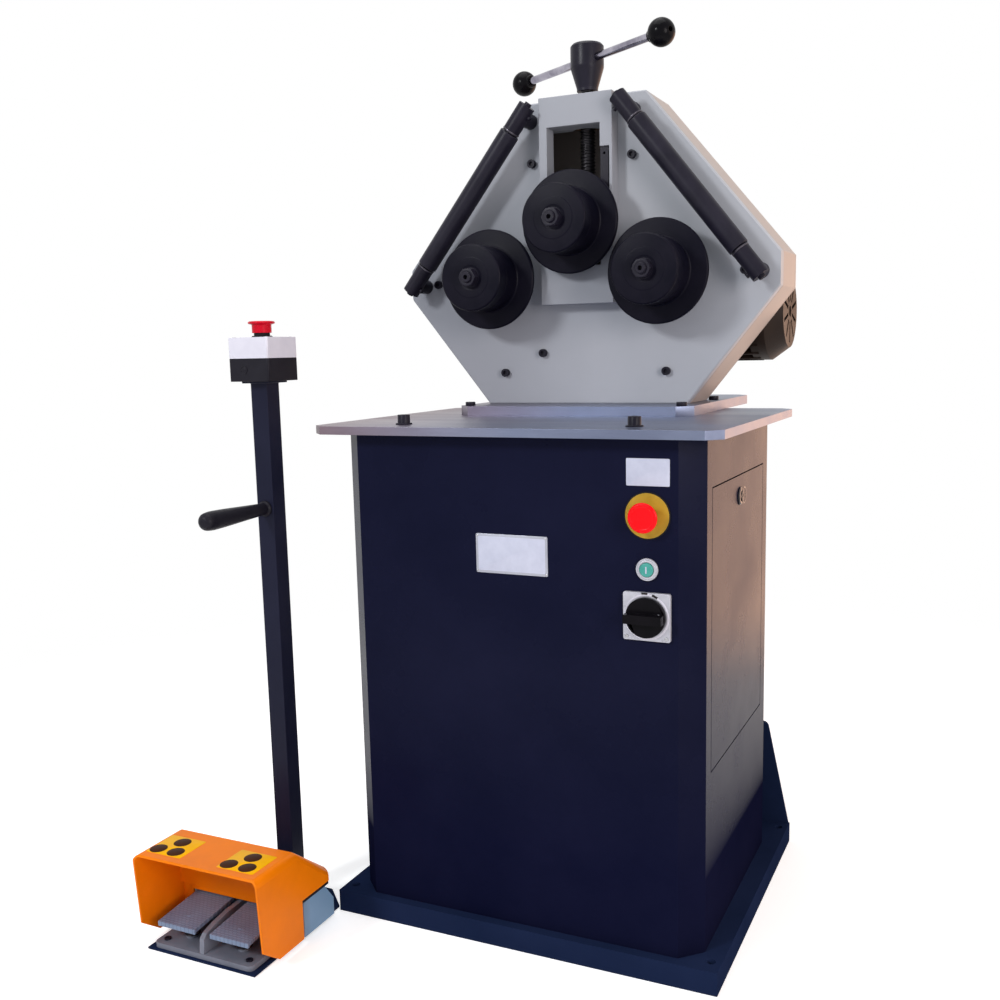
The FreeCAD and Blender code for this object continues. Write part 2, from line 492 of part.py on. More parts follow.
def screws():
    """All black socket-head screws of the machine: table, sole, front plate, rear cover, back cover."""
    found = []
    for i, x in enumerate(sides("table_bolt_x")):
        found.append(cap_screw(f"table_bolt_{i}", "+Z", (x, TABLE_BOLT_Y, "table_top"), "bolt_head",
                               "bolt_rise", "bolt_shank", "table_thick + frame_thick", washer=True))
    for i, x in enumerate(sides("sole_bolt_x")):
        for k, y in enumerate((f"{SOLE_FRONT} + sole_bolt_inset", f"{TABLE_REAR} - sole_bolt_rear")):
            found.append(cap_screw(f"sole_bolt_{i}{k}", "+Z", (x, y, SOLE_TOP), "bolt_head - 1", "bolt_rise",
                                   "bolt_shank", "table_thick + sole_thick"))
    for i, (x, z) in enumerate(PLATE_SCREWS):
        found.append(cap_screw(f"plate_screw_{i}", "-Y", (x, HEAD_FRONT, z), "screw_head", "screw_rise",
                               "screw_shank", "plate_thick"))
    for i, (x, z) in enumerate(COVER_SCREWS):
        found.append(cap_screw(f"cover_screw_{i}", "+Y", (x, HEAD_BACK, z), "screw_head", "screw_rise",
                               "screw_shank", "cover_thick"))
    for i, (x, z) in enumerate(BACK_SCREWS):
        found.append(cap_screw(f"back_screw_{i}", "+Y", (x, f"{CAB_REAR} + door_sheet", z),
                               "screw_head", "screw_rise/2", "screw_shank/2", "door_sheet"))
    node(together("cap_screws", found))


def head_outline(name, inset, low, length):
    """The head's six-sided front view, shrunk by an inset, extruded front to back."""
    top = f"(head_half_top - 0.5*({inset}))"
    wide = f"(head_half_wide - ({inset}))"
    foot = f"(head_half_foot - 0.5*({inset}))"
    heights = [f"({SOLE_TOP} + ({inset}))", f"({SOLE_TOP} + wide_low)", f"({SOLE_TOP} + wide_top)",
               f"({HEAD_TOP} - ({inset}))"]
    right = list(zip((foot, wide, wide, top), heights))
    left = [(f"-{x}", z) for x, z in reversed(right)]
    return prism(name, "Y", right + left, low, length)


def head():
    """Front plate with bearing bores and the carriage slot, welded housing and screwed rear cover."""
    plate = head_outline("plate_blank", "0", HEAD_FRONT, "plate_thick")
    front = SIZE["cabinet_margin"] - SIZE["base_depth"]/2 - SIZE["table_overhang"] + SIZE["sole_inset"]
    front += SIZE["head_inset"] + SIZE["plate_edge"]
    longest_kept = SIZE["slide_width"]/2
    soften(plate, lambda edge: edge.BoundBox.YMax < front and edge.Length > longest_kept, "plate_edge",
           "Chamfer")
    slot = block("plate_slot", ("-window_left - slot_relief", "window_right"),
                 (f"{HEAD_FRONT} - 1", f"{PLATE_BACK} + 1"),
                 (f"{SOLE_TOP} + window_low", f"{HEAD_TOP} - window_drop"))
    bores = [rod(f"plate_bore_{i}", "Y", (x, f"{HEAD_FRONT} - 1", ROLL_Z), "bearing_radius", "plate_thick + 2")
             for i, x in enumerate(sides("roll_half_span"))]
    pilot = rod("plate_pilot", "Y", ("0", f"{HEAD_FRONT} + plate_thick/2", PINION_Z),
                "pinion_shaft + run_gap", "plate_thick")
    holes = [rod(f"plate_screw_hole_{i}", "Y", (x, f"{HEAD_FRONT} - 1", z), "screw_shank", "plate_thick + 2")
             for i, (x, z) in enumerate(PLATE_SCREWS)]
    nest = rod("plate_nut_nest", "Z", ("0", SCREW_Y, f"{HEAD_TOP} - window_drop - 1"), "nut_flange",
               "window_drop - head_wall + 1")
    collar = rod("plate_nut_neck", "Z", ("0", SCREW_Y, f"{HEAD_TOP} - head_wall - 1"), "nut_radius",
                 "head_wall + 2")
    node(cut("front_plate", plate, slot, *bores, pilot, *holes, nest, collar))
    depth = f"{COVER_FRONT} - {PLATE_BACK}"
    walls = cut("housing_walls", head_outline("housing_skin", "0", PLATE_BACK, depth),
                head_outline("housing_room", "head_wall", f"{PLATE_BACK} - 1", f"{depth} + 2"))
    node(cut("head_housing", walls, rod("nut_hole", "Z", ("0", SCREW_Y, f"{HEAD_TOP} - 2*head_wall"),
                                        "nut_radius", "3*head_wall")))
    cover = head_outline("cover_blank", "0", COVER_FRONT, "cover_thick")
    bosses = [rod(f"bearing_boss_{i}", "Y", (x, f"{COVER_FRONT} - bearing_width", ROLL_Z),
                  "bearing_radius + head_wall", "bearing_width + 1")
              for i, x in enumerate(sides("roll_half_span"))]
    seats = [rod(f"bearing_seat_{i}", "Y", (x, f"{COVER_FRONT} - bearing_width - 1", ROLL_Z),
                 "bearing_radius", "bearing_width + 1") for i, x in enumerate(sides("roll_half_span"))]
    exit_bore = rod("pinion_exit", "Y", ("0", f"{COVER_FRONT} - 1", PINION_Z), "pinion_shaft + run_gap",
                    "cover_thick + 2")
    cover_holes = [rod(f"cover_screw_hole_{i}", "Y", (x, f"{COVER_FRONT} - 1", z), "screw_shank",
                       "cover_thick + 2") for i, (x, z) in enumerate(COVER_SCREWS)]
    node(cut("housing_rear_cover", fuse("cover_with_bosses", cover, *bosses), *seats, exit_bore, *cover_holes))
    rings = []
    for i, x in enumerate(sides("roll_half_span")):
        for k, y in enumerate((HEAD_FRONT, f"{COVER_FRONT} - bearing_width")):
            ring = rod(f"ring_{i}{k}", "Y", (x, y, ROLL_Z), "bearing_radius", "bearing_width")
            rings.append(cut(f"bearing_{i}{k}", ring,
                             rod(f"ring_bore_{i}{k}", "Y", (x, f"{y} - 1", ROLL_Z),
                                 "journal_radius + run_gap", "bearing_width + 2")))
    node(together("roll_bearings", rings))


def slide():
    """Box guide on the front plate: its window steps out on the right to hold the adjustable gib."""
    box = block("slide_blank", sides("slide_width/2"), (SLIDE_FRONT, HEAD_FRONT),
                (f"{SOLE_TOP} + slide_low", HEAD_TOP))
    depth = (f"{SLIDE_FRONT} - 1", f"{HEAD_FRONT} + 1")
    window = block("slide_window", ("-window_left", "window_right"), depth,
                   (f"{SOLE_TOP} + window_low", f"{HEAD_TOP} - window_drop"))
    step = block("slide_step", ("0", "window_step"), (f"{SLIDE_FRONT} + gib_inset", f"{HEAD_FRONT} + 1"),
                 (f"{SOLE_TOP} + window_low", f"{HEAD_TOP} - step_drop"))
    notch = block("slide_notch", ("0", "window_step"), depth,
                  (f"{SOLE_TOP} + window_low + step_drop", f"{HEAD_TOP} - step_drop"))
    node(cut("slide_housing", box, window, step, notch))
    strip = block("gib_strip", ("window_right", "window_right + gib_thick"),
                  (f"{SLIDE_FRONT} + gib_inset", HEAD_FRONT),
                  (f"{SOLE_TOP} + window_low", f"{HEAD_TOP} - step_drop - 1"))
    heights = (f"{HEAD_TOP} - step_drop - 10", f"{SOLE_TOP} + window_low + 10")
    slots = [rod(f"gib_hole_{i}", "Y", ("window_right + gib_thick/2", f"{SLIDE_FRONT} - 1", z),
                 "screw_shank/2", "gib_inset + 6") for i, z in enumerate(heights)]
    node(cut("slide_gib", strip, *slots))


def carriage():
    """Sliding block of the top roll, bored for its shaft and for the captured collar of the feed screw."""
    span = ("-window_left + slide_gap", "window_right - slide_gap")
    body = prism("carriage_blank", "Y", [(span[0], f"{TOP_ROLL_Z} - carriage_rise"),
                                         (span[1], f"{TOP_ROLL_Z} - carriage_rise"),
                                         (span[1], CARRIAGE_TOP), (span[0], CARRIAGE_TOP)],
                 CARRIAGE_FRONT, "carriage_depth")
    soften(body, lambda edge: along(edge, "X"), "slide_gap*10", "Chamfer")
    bore = rod("carriage_bore", "Y", ("0", f"{CARRIAGE_FRONT} - 1", TOP_ROLL_Z), "journal_radius + run_gap",
               "carriage_depth + 2")
    neck = rod("collar_neck", "Z", ("0", SCREW_Y, f"{CARRIAGE_TOP} - collar_depth - 1"),
               "feed_radius + run_gap", "collar_depth + 2")
    cell = rod("collar_cell", "Z", ("0", SCREW_Y, f"{CARRIAGE_TOP} - collar_depth - collar_thick - run_gap"),
               "collar_radius + slide_gap", "collar_thick + 2*run_gap")
    under = f"{CARRIAGE_TOP} - collar_depth - collar_thick"
    pilot = rod("collar_pilot", "Z", ("0", SCREW_Y, f"{under} - pilot_length - 1"),
                "pilot_radius + run_gap", "pilot_length + 2")
    node(cut("carriage", body, bore, neck, cell, pilot))


def feed():
    """Screw with a collar held in the carriage, its flanged bronze nut, and the cross handle on top."""
    collar = f"({CARRIAGE_TOP} - collar_depth - collar_thick)"
    node(lathe("feed_screw", "Z", [("0", f"{collar} - pilot_length"),
                                   ("pilot_radius", f"{collar} - pilot_length"),
                                   ("pilot_radius", collar), ("collar_radius", collar),
                                   ("collar_radius", f"{collar} + collar_thick"),
                                   ("feed_radius", f"{collar} + collar_thick"), ("feed_radius", GRIP_Z),
                                   ("0", GRIP_Z)], ("0", SCREW_Y, "0")))
    low = f"({HEAD_TOP} - nut_length)"
    under = f"({HEAD_TOP} - head_wall)"
    node(lathe("feed_nut", "Z", [("feed_radius + run_gap", low), ("nut_radius", low),
                                 ("nut_radius", f"{under} - nut_flange_thick"),
                                 ("nut_flange", f"{under} - nut_flange_thick"), ("nut_flange", under),
                                 ("nut_radius", under), ("nut_radius", HEAD_TOP),
                                 ("feed_radius + run_gap", HEAD_TOP)], ("0", SCREW_Y, "0")))
    top = f"({GRIP_Z} + grip_height)"
    hub = lathe("hub_blank", "Z", [("0", GRIP_Z), ("grip_neck", GRIP_Z), ("grip_neck", f"{GRIP_Z} + 4"),
                                   ("grip_radius", f"{GRIP_Z} + grip_shoulder"), ("grip_radius", f"{top} - 4"),
                                   ("grip_radius - 4", f"{top} - 1"), ("0", top)], ("0", SCREW_Y, "0"))
    turn = FreeCAD.Rotation(V(0, 0, 1), SIZE["handle_turn"])
    bar_z = f"({top} - bar_drop)"
    bar = rod("handle_rod", "X", ("-bar_reach", "0", "0"), "bar_radius", "2*bar_reach")
    bore = rod("hub_bore", "X", ("-bar_reach", "0", "0"), "bar_radius", "2*bar_reach")
    balls = []
    for i, x in enumerate(sides("ball_reach")):
        ball = place(doc.addObject("Part::Sphere", f"ball_{i}"), (x, "0", "0"))
        bind(ball, Radius="ball_radius")
        balls.append(cut(f"ball_knob_{i}", ball, rod(f"ball_socket_{i}", "X", ("-bar_reach", "0", "0"),
                                                     "bar_radius", "2*bar_reach")))

    def turned(name, *parts):
        group = together(name, parts)
        return place(group, ("0", SCREW_Y, bar_z), turn)

    node(cut("handle_hub", hub, turned("hub_cross_bore", bore)))
    node(turned("handle_bar", bar))
    node(turned("ball_knobs", *balls))


def roll(name, x, z):
    """A flanged roll: its disc at the back, its plain hub in front, bored for the shaft."""
    back = FLANGE_BACK
    step = f"({back} - flange_thick)"
    points = [("shaft_radius", HUB_FRONT), ("hub_radius - roll_edge", HUB_FRONT),
              ("hub_radius", f"{HUB_FRONT} + roll_edge"), ("hub_radius", step),
              ("flange_radius - roll_edge", step), ("flange_radius", f"{step} + roll_edge"),
              ("flange_radius", f"{back} - roll_edge"), ("flange_radius - roll_edge", back),
              ("shaft_radius", back)]
    node(lathe(name, "Y", points, (x, "0", z)))


def roll_nut(name, x, z):
    """Hexagon nut that clamps a roll against its shaft's shoulder."""
    corner = "hex_across/sqrt(3)"
    turns = [math.radians(angle) for angle in range(0, 360, 60)]
    points = [(f"{x} + {corner}*{math.cos(turn):.6f}", f"{z} + {corner}*{math.sin(turn):.6f}") for turn in turns]
    blank = prism(f"{name}_blank", "Y", points, f"{HUB_FRONT} - hex_thick", "hex_thick")
    node(cut(name, blank, rod(f"{name}_bore", "Y", (x, f"{HUB_FRONT} - hex_thick - 1", z), "thread_radius",
                              "hex_thick + 2")))


def roll_shaft(name, x, z, shoulder_end, journal_end, collar=None):
    """Stepped shaft: thread, roll seat, shoulder and journal, with a centre hole in its front end."""
    front = f"({HUB_FRONT} - hex_thick - thread_stick)"
    points = [("0", f"{front} + centre_depth"), ("centre_bore", f"{front} + centre_depth"),
              ("centre_bore", front), ("thread_radius - roll_edge/2", front),
              ("thread_radius", f"{front} + roll_edge/2"), ("thread_radius", HUB_FRONT),
              ("shaft_radius", HUB_FRONT), ("shaft_radius", FLANGE_BACK), ("shoulder_radius", FLANGE_BACK),
              ("shoulder_radius", shoulder_end), ("journal_radius", shoulder_end)]
    if collar:
        points += [("journal_radius", journal_end), ("shoulder_radius", journal_end),
                   ("shoulder_radius", collar), ("0", collar)]
    else:
        points += [("journal_radius", journal_end), ("0", journal_end)]
    node(lathe(name, "Y", points, (x, "0", z)))


def rolls():
    """Three rolls: the lower two run in the head's bearings, the top one in the carriage."""
    for side, x, z in (("left", "-roll_half_span", ROLL_Z), ("right", "roll_half_span", ROLL_Z),
                       ("top", "0", TOP_ROLL_Z)):
        roll(f"{side}_roll", x, z)
        roll_nut(f"{side}_roll_nut", x, z)
        if side == "top":
            roll_shaft("top_roll_shaft", x, z, f"{CARRIAGE_FRONT} - slide_gap", f"{CARRIAGE_BACK} + slide_gap",
                       f"{CARRIAGE_BACK} + 6")
        else:
            roll_shaft(f"{side}_roll_shaft", x, z, f"{HEAD_FRONT} - slide_gap", f"{COVER_FRONT} - end_gap")


def tooth_outline(teeth, first):
    """Corners of a spur gear's involute teeth about its own axis; first is the angle of one tooth."""
    module = SIZE["gear_module"]
    pitch = module*teeth/2
    pressure = math.radians(PRESSURE_ANGLE)
    base = pitch*math.cos(pressure)
    half_at_pitch = (math.pi*module/2 - SIZE["backlash"])/(2*pitch)

    def half_angle(radius):
        flank = math.acos(min(1, base/radius))
        return half_at_pitch + (math.tan(pressure) - pressure) - (math.tan(flank) - flank)

    radii = (max(base, pitch - 1.2*module), pitch - 0.5*module, pitch, pitch + module)
    root = pitch - 1.25*module
    corners = []
    for i in range(int(teeth)):
        middle = math.radians(first) + math.tau*i/teeth
        rising = [(radius, middle - half_angle(radius)) for radius in radii]
        falling = [(radius, middle + half_angle(radius)) for radius in reversed(radii)]
        foot = half_angle(radii[0])
        flanks = [(root, middle - foot), *rising, *falling, (root, middle + foot)]
        corners += [V(radius*math.cos(angle), 0, radius*math.sin(angle)) for radius, angle in flanks]
    return corners


def gear(name, teeth, first, x, z, bore=None, shaft=None):
    """A spur gear in the head, with a bore for its shaft or a shaft of its own."""
    corners = tooth_outline(teeth, first)
    solid = Part.Face(Part.makePolygon(corners + corners[:1])).extrude(V(0, SIZE["gear_width"], 0))
    front = V(0, -1, 0)
    if bore:
        solid = solid.cut(Part.makeCylinder(bore, SIZE["gear_width"] + 2, front, V(0, 1, 0)))
    if shaft:
        radius, ahead, behind = shaft
        solid = solid.fuse(Part.makeCylinder(radius, ahead + behind, V(0, -ahead, 0), V(0, 1, 0)))
    feature = doc.addObject("Part::Feature", name)
    feature.Shape = solid
    node(place(feature, (x, GEAR_FRONT, z)))


def gear_train():
    """One pinion between two roll gears, cut in mesh, so both lower rolls turn the same way."""
    teeth, small = SIZE["roll_teeth"], SIZE["pinion_teeth"]
    line = math.degrees(math.atan2(SIZE["pinion_drop"], SIZE["roll_half_span"]))
    pinion_tooth = 90
    ahead = (pinion_tooth - line) % (360/small)
    right_tooth = line + 180 - ahead*small/teeth + 180/teeth
    bore = SIZE["journal_radius"]
    gear("right_gear", teeth, right_tooth, "roll_half_span", ROLL_Z, bore=bore)
    gear("left_gear", teeth, 180 - right_tooth, "-roll_half_span", ROLL_Z, bore=bore)
    reach = SIZE["gear_inset"] - SIZE["plate_thick"]/2 - SIZE["end_gap"]
    behind = SIZE["head_depth"] - SIZE["gear_inset"] + SIZE["box_depth"]/4
    gear("drive_pinion", small, pinion_tooth, "0", PINION_Z, shaft=(SIZE["pinion_shaft"], reach, behind))


def gearbox():
    """Right-angle gearbox standing on the sole plate, bored for the pinion's shaft, with the motor's flange."""
    box = upright("gearbox_block", sides("box_half"), (HEAD_BACK, f"{HEAD_BACK} + box_depth"),
                  (SOLE_TOP, f"{PINION_Z} + motor_radius"))
    half_up = SIZE["table_top"] + SIZE["motor_radius"]
    soften(box, lambda edge: along(edge, "Z") or along(edge, "Y") and edge.BoundBox.ZMin > half_up, "box_round")
    cheeks = [block(f"gearbox_pocket_{i}", x,
                    (f"{HEAD_BACK} + box_foot", f"{HEAD_BACK} + box_depth - box_foot"),
                    (f"{SOLE_TOP} + box_foot", f"{PINION_Z} - motor_radius - box_foot/2"))
              for i, x in enumerate((("-box_half - 1", "-box_web/2"), ("box_web/2", "box_half + 1")))]
    bore = rod("gearbox_bore", "Y", ("0", f"{HEAD_BACK} - 1", PINION_Z), "pinion_shaft + run_gap",
               "box_depth/4 + 3")
    lid = rod("gearbox_lid", "Y", ("0", f"{HEAD_BACK} + box_depth - 1", PINION_Z),
              "motor_core - box_corner", "box_lid + 1")
    neck = rod("motor_flange", "X", ("box_half - 1", MOTOR_Y, PINION_Z), "motor_radius", "end_bell")
    node(cut("gearbox_case", fuse("gearbox_cast", box, lid, neck), bore, *cheeks))


def motor():
    """Finned motor body, end bells, sheet cowl with a slotted face, and the fan that turns behind it."""
    start = "(box_half + end_bell - 1)"
    end = f"({start} + motor_length)"
    core = rod("motor_barrel", "X", (start, MOTOR_Y, PINION_Z), "motor_core", "motor_length")
    bells = [rod(f"motor_bell_{i}", "X", (x, MOTOR_Y, PINION_Z), "motor_radius - 2", "end_bell")
             for i, x in enumerate((start, f"{end} - end_bell"))]
    fins = []
    for i in range(int(SIZE["fin_count"])):
        angle = 360*i/SIZE["fin_count"]
        fin = doc.addObject("Part::Box", f"fin_{i}")
        bind(fin, Length="motor_length", Width="fin_thick",
             Height="motor_radius - motor_core + fin_root - slide_gap")
        group = place(together(f"fin_turned_{i}", [fin]), (start, MOTOR_Y, PINION_Z),
                      FreeCAD.Rotation(V(1, 0, 0), angle))
        bind(fin, Placement__Base__y="-fin_thick/2", Placement__Base__z="motor_core - fin_root")
        fins.append(group)
    spindle = rod("rotor_hole", "X", (start, MOTOR_Y, PINION_Z), "rotor_radius + run_gap", "motor_length + 2")
    node(cut("motor_body", fuse("motor_cast", core, *bells, *fins), spindle))
    face = f"({end} + cowl_length)"
    rim = "(motor_radius - 1)"
    cowl = lathe("cowl_sheet_metal", "X", [(rim, end), (rim, f"{end} + cowl_length/3"), ("cowl_end", face),
                                           ("rotor_radius", face), ("rotor_radius", f"{face} - cowl_sheet"),
                                           ("cowl_end - cowl_sheet", f"{face} - cowl_sheet"),
                                           (f"{rim} - cowl_sheet", f"{end} + cowl_length/3"),
                                           (f"{rim} - cowl_sheet", end)],
                 ("0", MOTOR_Y, PINION_Z))
    slots = []
    for i in range(int(SIZE["grille_count"])):
        slot = doc.addObject("Part::Box", f"grille_{i}")
        bind(slot, Length="3*cowl_sheet", Width="cowl_sheet*2",
             Height="cowl_end - rotor_radius - 2*grille_rim",
             Placement__Base__y="-cowl_sheet", Placement__Base__z="rotor_radius + grille_rim")
        slots.append(place(together(f"grille_turned_{i}", [slot]),
                           (f"{face} - 2*cowl_sheet", MOTOR_Y, PINION_Z),
                           FreeCAD.Rotation(V(1, 0, 0), 360*i/SIZE["grille_count"])))
    node(cut("motor_fan_cover", cowl, *slots))
    spin = rod("rotor", "X", (f"{start} + end_bell", MOTOR_Y, PINION_Z), "rotor_radius",
               "motor_length - end_bell + cowl_length*0.75")
    hub = rod("fan_hub", "X", (f"{end} + blade_gap + 2", MOTOR_Y, PINION_Z), "rotor_radius*2",
              "cowl_length*0.4")
    disc = rod("fan_disc", "X", (f"{end} + blade_gap + 1", MOTOR_Y, PINION_Z), "cowl_end - blade_gap",
               "blade_thick - 1")
    blades = []
    for i in range(int(SIZE["blade_count"])):
        blade = doc.addObject("Part::Box", f"blade_{i}")
        bind(blade, Length="cowl_length*0.5", Width="blade_thick",
             Height="cowl_end - blade_gap - rotor_radius", Placement__Base__z="rotor_radius")
        blades.append(place(together(f"blade_turned_{i}", [blade]),
                            (f"{end} + blade_gap + 1", MOTOR_Y, PINION_Z),
                            FreeCAD.Rotation(V(1, 0, 0), 360*i/SIZE["blade_count"])))
    node(fuse("motor_fan", spin, hub, disc, *blades))
    box_x = f"({start} + motor_length/2)"
    box = upright("terminal_blank", (f"{box_x} - terminal_size/2", f"{box_x} + terminal_size/2"),
                  (f"{MOTOR_Y} - terminal_size/2", f"{MOTOR_Y} + terminal_size/2"),
                  (f"{PINION_Z} + motor_core - 1", f"{PINION_Z} + motor_core + terminal_rise"))
    saddle = rod("terminal_saddle", "X", ("0", MOTOR_Y, PINION_Z), "motor_radius", "head_half_wide")
    soften(box, lambda edge: along(edge, "Z"), "terminal_corner")
    gland = rod("terminal_gland", "Y",
                (box_x, f"{MOTOR_Y} + terminal_size/2 - 1", f"{PINION_Z} + motor_radius + gland_rise"),
                "gland_radius", "gland_length")
    node(cut("terminal_box", fuse("terminal_cast", box, gland), saddle))


def guides():
    """Two guide rollers: a fixed rod with its ends screwed to studs of the front plate, and a free sleeve."""
    def height(alias):
        return SIZE["table_top"] + SIZE["sole_thick"] + SIZE[alias]

    top = V(SIZE["guide_top_x"], 0, height("guide_top_z"))
    foot = V(SIZE["guide_foot_x"], 0, height("guide_foot_z"))
    length = (foot - top).Length
    lean = FreeCAD.Rotation(V(0, 0, 1), foot - top)
    at = ("guide_top_x", GUIDE_Y, f"{SOLE_TOP} + guide_top_z")
    sleeve_end = "(sleeve_start + sleeve_length)"
    stud_places = []
    for inset in (SIZE["stud_inset"], length - SIZE["stud_foot_inset"]):
        point = top + (foot - top).normalize()*inset
        stud_places.append((f"{point.x:.3f}", f"{point.z:.3f}"))

    def along_guide(name, radius, start, end):
        solid = doc.addObject("Part::Cylinder", name)
        bind(solid, Radius=radius, Height=f"({end}) - ({start})", Placement__Base__z=start)
        return place(together(f"{name}_leaning", [solid]), at, lean)

    reach = f"{length:.3f}"
    bar = fuse("guide_bar", along_guide("guide_spindle", "guide_rod", "1", f"{reach} - 1"),
               along_guide("guide_top_eye", "guide_eye", "0", "sleeve_start - slide_gap*4"),
               along_guide("guide_foot_eye", "guide_eye", f"{sleeve_end} + slide_gap*4", reach))
    bores = [rod(f"guide_tap_{i}", "Y", (x, GUIDE_Y, z), "screw_shank", "guide_standoff")
             for i, (x, z) in enumerate(stud_places)]
    right = cut("guide_bar_bored", bar, *bores)
    node(together("guide_shafts", [right, mirrored("guide_bar_left", right)]))
    studs = []
    for i, (x, z) in enumerate(stud_places):
        post = rod(f"stud_post_{i}", "Y", (x, GUIDE_Y, z), "stud_radius", "guide_standoff")
        coped = cut(f"stud_coped_{i}", post,
                    along_guide(f"stud_cope_{i}", "guide_eye", "-stud_inset", f"{reach} + stud_inset"))
        tip = rod(f"stud_tip_{i}", "Y", (x, GUIDE_Y, z), "screw_shank", "guide_standoff")
        studs.append(fuse(f"stud_{i}", coped, tip))
    twins = [mirrored(f"{stud.Name}_left", stud) for stud in studs]
    node(together("guide_studs", studs + twins))
    tube = cut("guide_tube", along_guide("sleeve_skin", "sleeve_radius", "sleeve_start", sleeve_end),
               along_guide("sleeve_bore", "guide_rod + run_gap", "sleeve_start - 1", f"{sleeve_end} + 1"))
    node(together("right_guide_sleeve", [tube]))
    node(mirrored("left_guide_sleeve", tube))


def control_body(name, height, rings, bore):
    """Fixed part of a panel control: rings in front, a tube through the sheet, a contact block behind."""
    front = [rod(f"{name}_ring_{i}", "Y", ("control_x", f"{CAB_FRONT} - ({rise})", height), radius, rise)
             for i, (radius, rise) in enumerate(rings)]
    tube = rod(f"{name}_tube", "Y", ("control_x", f"{CAB_FRONT} - 1", height), "control_tube", "tube_length")
    behind = f"({CAB_FRONT} + tube_length - 2)"
    contact = block(f"{name}_contact", ("control_x - block_size/2", "control_x + block_size/2"),
                    (behind, f"{behind} + block_depth"),
                    (f"{height} - block_height/2", f"{height} + block_height/2"))
    hole = rod(f"{name}_bore", "Y", ("control_x", f"{CAB_FRONT} - tube_length", height), bore,
               "2*tube_length + block_depth/4")
    node(cut(name, fuse(f"{name}_solid", *front, tube, contact), hole))


def mushroom(name, at, turn):
    """Push cap with a wide rim on a skirt that slides over the fixed collar; its stem ends in a seat."""
    seat = "estop_stem_radius + run_gap"
    room = "estop_collar_radius + slide_gap"
    rim = "(mushroom_height - mushroom_rim)"
    points = [("0", "mushroom_seat"), (seat, "mushroom_seat"), (seat, "mushroom_room"),
              (room, "mushroom_room"), (room, "0"), ("mushroom_skirt", "0"), ("mushroom_skirt", rim),
              ("mushroom_radius - 1", f"{rim} + 1"),
              ("mushroom_radius", f"{rim} + 2"), ("mushroom_radius", f"{rim} + 3"),
              ("mushroom_radius - 1", f"{rim} + 4"), ("mushroom_skirt", "mushroom_height"),
              ("0", "mushroom_height")]
    blank = lathe(f"{name}_turned", "Z", points, ("0", "0", "0"))
    node(place(together(name, [blank]), at, turn))


def panel_controls():
    """Emergency stop, start button and rotary switch on the cabinet's front."""
    out = FreeCAD.Rotation(V(1, 0, 0), 90)
    control_body("estop_collar", "estop_z", [("estop_ring", "estop_ring_thick"),
                                             ("estop_collar_radius", "estop_collar_rise")],
                 "estop_stem_radius + run_gap")
    cap_y = f"({CAB_FRONT} - mushroom_gap)"
    node(rod("estop_stem", "Y", ("control_x", f"{cap_y} - mushroom_seat + run_gap", "estop_z"),
             "estop_stem_radius", "mushroom_gap + mushroom_seat + tube_length"))
    mushroom("estop_cap", ("control_x", cap_y, "estop_z"), out)
    control_body("start_bezel", "start_z", [("start_radius", "start_rise")], "start_button_radius + run_gap")
    face = f"{CAB_FRONT} - start_rise - start_travel - 10*run_gap"
    node(rod("start_button", "Y", ("control_x", face, "start_z"),
             "start_button_radius", "start_rise + tube_length"))
    control_body("switch_base", "switch_z", [("knob_stem + 8", "switch_thick/2")], "knob_stem + run_gap")
    body = NODES.pop()
    near, far = "control_x - switch_size/2", "control_x + switch_size/2"
    low, high = "switch_z - switch_size/2", "switch_z + switch_size/2"
    plate = prism("switch_square", "Y", [(near, low), (far, low), (far, high), (near, high)],
                  f"{CAB_FRONT} - switch_thick", "switch_thick")
    soften(plate, lambda edge: along(edge, "Y"), "switch_corner")
    hole = rod("switch_square_bore", "Y", ("control_x", f"{CAB_FRONT} - switch_thick - 1", "switch_z"),
               "knob_stem + run_gap", "switch_thick + 2")
    node(fuse("switch_plate", cut("switch_square_bored", plate, hole), body))
    face = f"({CAB_FRONT} - switch_thick - slide_gap)"
    disc = rod("knob_disc", "Y", ("control_x", f"{face} - knob_thick", "switch_z"), "knob_radius",
               "knob_thick")
    grip = block("knob_ridge", ("control_x - knob_radius + 1", "control_x + knob_radius - 1"),
                 (f"{face} - knob_thick - knob_grip", f"{face} - 1"),
                 ("switch_z - knob_bar/2", "switch_z + knob_bar/2"))
    stem = rod("knob_spindle", "Y", ("control_x", f"{face} - 1", "switch_z"), "knob_stem",
               "switch_thick + tube_length")
    node(fuse("switch_knob", disc, grip, stem))


